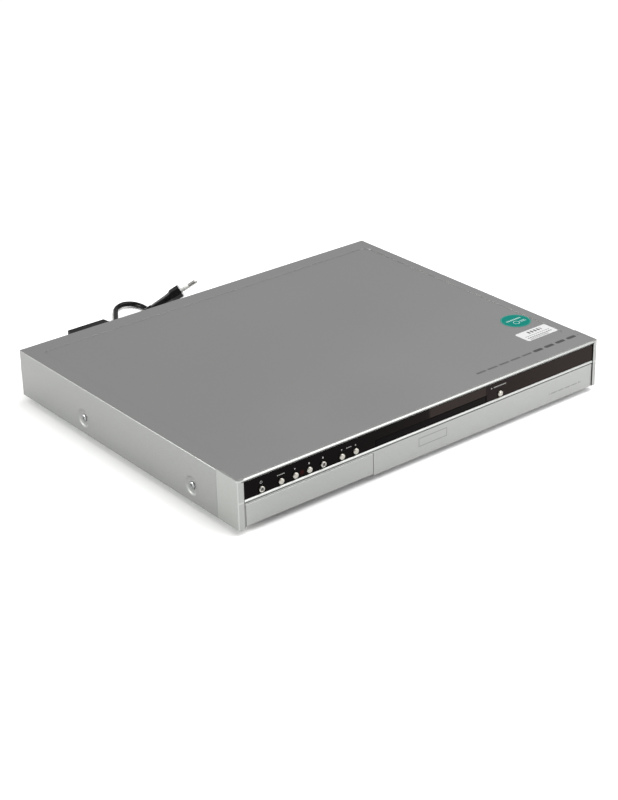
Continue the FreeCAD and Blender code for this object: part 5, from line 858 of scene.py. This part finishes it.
# The lead's corners in bench millimetres: relief to coil, then coil to plug
LEAD_START = [RELIEF_END, (-186, 384.3, 13), (-182.2, 398.3, 7.4), (-172.7, 409.2, 1.8), (-158.9, 415.1, -2),
              (-144.4, 413.8, -3.2), (-132, 405.8, -3.2), (-123.4, 392.7, -3.2), (-116.5, 379.8, -3.2),
              (-110.3, 367.1, -2), (-99.4, 356.6, 0.6), (-85.5, 351, 2.8), (-71.5, 351, 2.8)]
LEAD_END = [(-60.5, 352.5, -3.2), (-42, 352.5, -3.2), (-21, 356, -3.2), (-8, 369, -3.2), (-5.5, 392, -3.2),
            (-3.4, 456.3, -3), (-8.6, 466.8, -2), (-19.5, 470.5, -1.2), (-30.5, 465.8, -2), (-47.8, 438.9, -3.2)]
COIL_MIDDLE = (-66.0, 387.5)
COIL_LOW = -3.2
PLUG_TAIL = (-32.6, 418.4, 4.5)
PLUG_TURN = (-24.6, 28.0, -26.4)


def plug_matrix():
    heading, tilt, roll = (radians(a) for a in PLUG_TURN)
    turn = Matrix.Rotation(heading, 4, "Z") @ Matrix.Rotation(-tilt, 4, "Y") @ Matrix.Rotation(roll, 4, "X")
    return Matrix.Translation(bench(*PLUG_TAIL)) @ turn


def rounded_route(corners, step=2.5):
    """Points along straight runs joined by arcs, each as large as its two runs allow."""
    corners = [Vector(corner) for corner in corners]
    made = [corners[0]]
    for before, corner, after in zip(corners, corners[1:], corners[2:]):
        arriving, leaving = corner - before, after - corner
        turn = arriving.angle(leaving)
        trim = 0.45 * min(arriving.length, leaving.length)
        radius = trim / tan(turn / 2)
        start = corner - arriving.normalized() * trim
        inward = (leaving.normalized() - arriving.normalized()).normalized()
        middle = corner + inward * radius / cos(turn / 2)
        axis = arriving.cross(leaving)
        count = max(2, round(radius * turn / step))
        made += [middle + Matrix.Rotation(turn * k / count, 3, axis) @ (start - middle) for k in range(count + 1)]
    return made + [corners[-1]]


def coil_route(lead):
    """The coil's turns: in on the upper layer, down in half a turn and out on the floor."""
    step = lead.turn_step * 1000 / 4
    radius = lead.turn_radius * 1000
    drop = Vector((0, 0, lead.layer * 1000))
    middle = Vector((*COIL_MIDDLE, COIL_LOW)) + drop
    way = -pi / 2
    points = []

    def out(angle):
        return Vector((cos(angle), sin(angle), 0))

    def arc(turn, fall=0.0):
        steps = round(12 * turn / (pi / 2))
        for k in range(1, steps + 1):
            points.append(middle + out(way + turn * k / steps) * radius - drop * fall * k / steps)
        return way + turn

    for k in range(12):
        way = arc(pi / 2)
        middle = middle + out(way) * step
        radius -= step
    way = arc(pi, 1.0)
    middle = middle - drop
    for k in range(10):
        middle = middle - out(way) * step
        radius += step
        way = arc(pi / 2)
    return points


class RECORDER_OT_lead(PieceOperator):
    """Mains lead as one line, from its relief through the coil to the plug"""
    bl_idname = "recorder.lead"
    bl_label = "Lead"

    def execute(self, context):
        lead = context.scene.recorder_lead
        tail = plug_matrix()
        heading = tail.to_3x3() @ Vector((1, 0, 0))
        plug_end = Vector(PLUG_TAIL)
        route = rounded_route(LEAD_START) + coil_route(lead)
        route += rounded_route([*LEAD_END, plug_end - heading * 16, plug_end + heading * 2])
        curve = bpy.data.curves.new("lead_line", "CURVE")
        curve.dimensions = "3D"
        curve.bevel_depth = lead.radius
        curve.bevel_resolution = 5
        curve.use_fill_caps = True
        line = curve.splines.new("POLY")
        line.points.add(len(route) - 1)
        for knot, place in zip(line.points, route):
            knot.co = (*bench(*place), 1)
        line.use_smooth = True
        piece = bpy.data.objects.new("lead_line", curve)
        context.scene.collection.objects.link(piece)
        finish = lead_finish(lead)
        curve.materials.append(finish.material)
        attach(piece, "case")
        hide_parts("mains_lead", "lead_coil", "lead_loop")
        plug = self.plug(finish.material)
        pins = pin_finish(heading, tail @ Vector((0.053, 0, 0)), 0.0096)
        pins.on("plug_pins")
        finish.on("lead_bushing")
        bench(*RELIEF_END)
        return {"FINISHED"}

    def plug(self, material):
        """Flat two-pin plug: ringed tail, slim eight-sided neck that widens, and a thick block at the front."""
        made = bmesh.new()

        def closed(rings):
            skin(made, rings)
            made.faces.new(rings[0])
            made.faces.new(rings[-1])

        tail = [(-1, 3), (1.6, 3.2), (2, 4), (3.8, 4), (4.2, 3.3), (5.4, 3.4), (5.8, 4.2), (7.2, 4.2), (7.6, 3.5),
                (8.8, 3.6), (9.2, 4.4), (10.6, 4.4), (11, 3.7), (12.2, 3.8), (12.8, 4.4), (17.5, 4.6)]
        closed([[made.verts.new(metres(along, a, b)) for a, b in disc(0, 0, radius, 32)]
                for along, radius in tail])
        rings = []
        for along, wide, thick in ((16, 10, 7.6), (21, 13, 8.4), (35, 26, 9.4), (40.5, 35.1, 10.2), (43.3, 35.1, 13.5),
                                   (52.9, 35.1, 13.5)):
            across, flat, edge, high = wide / 2, max(wide / 2 - 5.5, 1.5), thick * 0.24, thick / 2
            half = [(across, edge), (flat, high), (-flat, high), (-across, edge)]
            ring = half + [(-a, -b) for a, b in half]
            rings.append([made.verts.new(metres(along, a, b)) for a, b in ring])
        closed(rings)
        block = {vert for ring in rings for vert in ring}
        edges = [e for e in made.edges if e.verts[0] in block and e.calc_face_angle(0) > radians(12)]
        bmesh.ops.bevel(made, geom=edges, offset=0.0007, offset_type="OFFSET", segments=3, profile=0.5, affect="EDGES",
                        clamp_overlap=True)
        mesh = finished(made, "plug_body")
        mesh.transform(plug_matrix())
        smooth(mesh, 30)
        piece = link(mesh, "plug_body", "case", material)
        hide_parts("mains_plug")
        return piece


class RECORDER_OT_cover(PieceOperator):
    """Folded cover with softened folds, and its stickers"""
    bl_idname = "recorder.cover"
    bl_label = "Cover"

    def execute(self, context):
        case = context.scene.recorder_case
        finish = cover_paint(case)
        cover = softened("top_cover", case.edge, finish.material)
        thick = 0.14

        def on_top(across, up, height):
            return bench(across, up, COVER_TOP + thick - 0.02 - height)

        teal = flat_shapes("round_sticker", [disc(*STICKER_MIDDLE, STICKER_RADIUS, 72)], on_top, thick)
        link(teal, "round_sticker", "case", sticker_teal(case).material)
        left, right, low, high = LABEL
        corner = LABEL_CORNER
        outline = []
        for x, y, start in ((right - corner, low + corner, 3), (right - corner, high - corner, 0),
                            (left + corner, high - corner, 1), (left + corner, low + corner, 2)):
            angles = [TURN * (start / 4 + k / 24) for k in range(7)]
            outline += [(x + corner * cos(a), y + corner * sin(a)) for a in angles]
        label = flat_shapes("paper_label", [outline], on_top, thick)
        link(label, "paper_label", "case", sticker_white().material)
        return {"FINISHED"}


class RECORDER_OT_front(PieceOperator):
    """Front moulding, flap, polished strip and drawer bezel"""
    bl_idname = "recorder.front"
    bl_label = "Front"

    def execute(self, context):
        case = context.scene.recorder_case
        silver = silver_paint(case)
        black = polished_black(case)
        fine = case.edge * 0.8
        softened("front_fascia", case.edge, silver.material)
        softened("av_flap", fine, silver.material)
        softened("front_window", fine, black.material)
        softened("tray_front", fine, black.material)
        return {"FINISHED"}


BUTTON_PLACES = {"power_button": -189.8, "source_button": -168.9, "play_button": -153.5, "stop_button": -138.3,
                 "record_button": -123.1, "channel_down_button": -102.2, "channel_up_button": -86.6,
                 "open_close_button": 86.8}
RINGED = ("power_button", "record_button")


class RECORDER_OT_buttons(PieceOperator):
    """Chromed buttons, two of them with a dark dish in a ring, and the small printed signs over them"""
    bl_idname = "recorder.buttons"
    bl_label = "Buttons"

    def execute(self, context):
        chrome = bright_steel("button_chrome", (0.4, 0.385, 0.35), 0.24)
        dark = moulded("button_dish", (0.02, 0.02, 0.022), 0.3)
        stem = [(3.0, 1.4), (3.0, 6.5), (4.4, 6.5), (4.4, 7.5), (0, 7.5)]
        plain = [(0, 0.0), (1.2, 0.03), (2.0, 0.12), (2.55, 0.36), (2.88, 0.75), *stem]
        ringed = [(0, 0.5), (1.5, 0.46), (1.78, 0.12), (2.05, 0.02), (2.4, 0.12), (2.7, 0.4), (2.9, 0.8), *stem]
        for name, x in BUTTON_PLACES.items():
            profile = ringed if name in RINGED else plain
            mesh = turned_mesh(name + "_cap", [metres(*point) for point in profile])
            middle = bench(x, BUTTON_FACE, BUTTON_ROW)
            mesh.transform(Matrix.Translation(middle) @ Matrix.Rotation(-pi / 2, 4, "X"))
            mesh.materials.append(chrome.material)
            mesh.materials.append(dark.material)
            for polygon in mesh.polygons:
                at = polygon.center - middle
                polygon.material_index = int(name in RINGED and hypot(at.x, at.z) < 0.0016 and at.y < 0.003)
            piece = link(mesh, name + "_cap", name, None)
            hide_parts(name)
        self.signs()
        return {"FINISHED"}

    def signs(self):
        """Generic signs printed over the buttons and on the strip."""
        up = SIGN_ROW
        power, source, play, stop, record, down, higher = list(BUTTON_PLACES.values())[:7]
        shapes = []
        ring, inner = (disc(power, up, radius, 20) for radius in (1.3, 0.95))
        for k in range(6, 23):
            first, second = k % 20, (k + 1) % 20
            shapes.append([ring[first], ring[second], inner[second], inner[first]])
        shapes.append(bar(power, up + 0.9, 0.35, 1.5))
        shapes += [bar(source + k * 1.7, up, 1.1, 0.9) for k in (-2, -1, 0, 1, 2)]
        shapes += [arrow(play, up, 1.7, 1.7), bar(stop, up, 1.5, 1.5), disc(record, up, 0.85, 16)]
        shapes += [lifted(higher, up, 1.7, 1.4), [(down - 0.85, up + 0.7), (down, up - 0.7), (down + 0.85, up + 0.7)]]
        shapes += [bar(-96.4 + k * 1.5, up, 1.0, 0.8) for k in range(4)]
        shapes += [lifted(76.2, 39.8, 1.7, 1.1), bar(76.2, 38.8, 1.7, 0.35)]
        shapes += [bar(79.4 + k * 1.45, 39.4, 0.95, 1.0) for k in range(11)]

        def on_strip(across, high, depth):
            return bench(across, STRIP_FACE + depth, high)

        mesh = flat_shapes("strip_signs", shapes, on_strip, 0.05)
        link(mesh, "strip_signs", "case", ink("white_ink", (0.27, 0.27, 0.26)).material)


class RECORDER_OT_screws(PieceOperator):
    """Cross-headed screws of the cover"""
    bl_idname = "recorder.screws"
    bl_label = "Screws"

    def execute(self, context):
        places = []
        for side in (-1, 1):
            for y in (68.0, 239.0):
                places.append((bench(side * (215 - 1.6), y, 15.5), (side, 0, 0)))
        for x in (-197.0, 43.0, 197.0):
            places.append((bench(x, 347.3, 47.2 - 4.25), (0, 1, 0)))
        steel = bright_steel("screw_zinc", (0.3, 0.305, 0.31), 0.3)
        heads = repeated("cover_screw_heads", screw_head(), places, "case", steel.material, 1.4)
        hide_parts("cover_screws")
        return {"FINISHED"}


class RECORDER_OT_rear(PieceOperator):
    """Back panel, sockets, fan and its hood"""
    bl_idname = "recorder.rear"
    bl_label = "Rear"

    def execute(self, context):
        zinc = zinc_sheet()
        zinc.on("rear_panel", "bottom_chassis", "aerial_tuner", "disk_bracket", "clamp_bridge", "tray_motor",
                "sled_motor")
        black = moulded("moulded_black", (0.0055, 0.0055, 0.0058), 0.42, specular_ior_level=0.08)
        black.on("fan_frame", "fan_rotor", "scart_sockets", "small_sockets", "power_parts", "pickup", "turntable",
                 "clamp_puck", "loader_frame")
        hood = softened("fan_hood", 0.0003, black.material)
        phono_finish("rear_sockets_finish", 64, 18, 17, 18, False).on("phono_sockets")
        phono_finish("front_sockets_finish", -80.7 - 34, 17, 11.7, 40, True).on("av_jacks")
        return {"FINISHED"}


class RECORDER_OT_inside(PieceOperator):
    """Loader, boards, disk and the rest of what the case holds"""
    bl_idname = "recorder.inside"
    bl_label = "Inside"

    def execute(self, context):
        moulded("moulded_grey", (0.16, 0.165, 0.17)).on("traverse")
        moulded("acetal_white", (0.68, 0.68, 0.65), 0.4, 1200, 0.12, subsurface_weight=0.1).on(
            "drive_gear", "pulley_gear", "cam_slider", "motor_pulley")
        rubber("foot_rubber", (0.028, 0.028, 0.03)).on("feet")
        rubber("belt_rubber", (0.02, 0.02, 0.02)).on("drive_belt")
        tray_plastic().on("disc_tray")
        circuit_board().on("main_board", "power_board", "button_board")
        cast_metal("cast_alloy", (0.56, 0.57, 0.58)).on("heat_sink", "disk_case", "disk_arm")
        cast_metal("pressed_lid", (0.66, 0.67, 0.68), 300, 0.3).on("disk_lid")
        disk_mirror().on("disk_platters")
        bright_steel("rod_steel").on("guide_rods", "lead_screw")
        display_glass().on("display_module")
        return {"FINISHED"}


class RECORDER_PT_pieces(bpy.types.Panel):
    """Lists the recorder's pieces"""
    bl_idname = "RECORDER_PT_pieces"
    bl_label = "Recorder"
    bl_space_type = "VIEW_3D"
    bl_region_type = "UI"
    bl_category = "Recorder"

    def draw(self, context):
        for group in (context.scene.recorder_case, context.scene.recorder_lead, context.scene.recorder_stage):
            for name in group.__annotations__:
                self.layout.prop(group, name)
        for operator in OPERATORS:
            self.layout.operator(operator.bl_idname)


OPERATORS = (RECORDER_OT_stage, RECORDER_OT_lead, RECORDER_OT_cover, RECORDER_OT_front, RECORDER_OT_buttons,
             RECORDER_OT_screws, RECORDER_OT_rear, RECORDER_OT_inside)
GROUPS = {"recorder_case": RecorderCase, "recorder_lead": RecorderLead, "recorder_stage": RecorderStage}


def register():
    for group in GROUPS.values():
        bpy.utils.register_class(group)
    for operator in (*OPERATORS, RECORDER_PT_pieces):
        bpy.utils.register_class(operator)
    for name, group in GROUPS.items():
        setattr(bpy.types.Scene, name, PointerProperty(type=group))


def unregister():
    for name in GROUPS:
        delattr(bpy.types.Scene, name)
    for operator in (*OPERATORS, RECORDER_PT_pieces):
        bpy.utils.unregister_class(operator)
    for group in GROUPS.values():
        bpy.utils.unregister_class(group)


def main():
    for leftover in [o for o in bpy.data.objects if o.type in ("CAMERA", "LIGHT") or o.name == "Cube"]:
        bpy.data.objects.remove(leftover)
    register()
    for operator in OPERATORS:
        getattr(bpy.ops.recorder, operator.bl_idname.partition(".")[2])()
    bpy.context.view_layer.update()


if __name__ == "__main__":
    main()
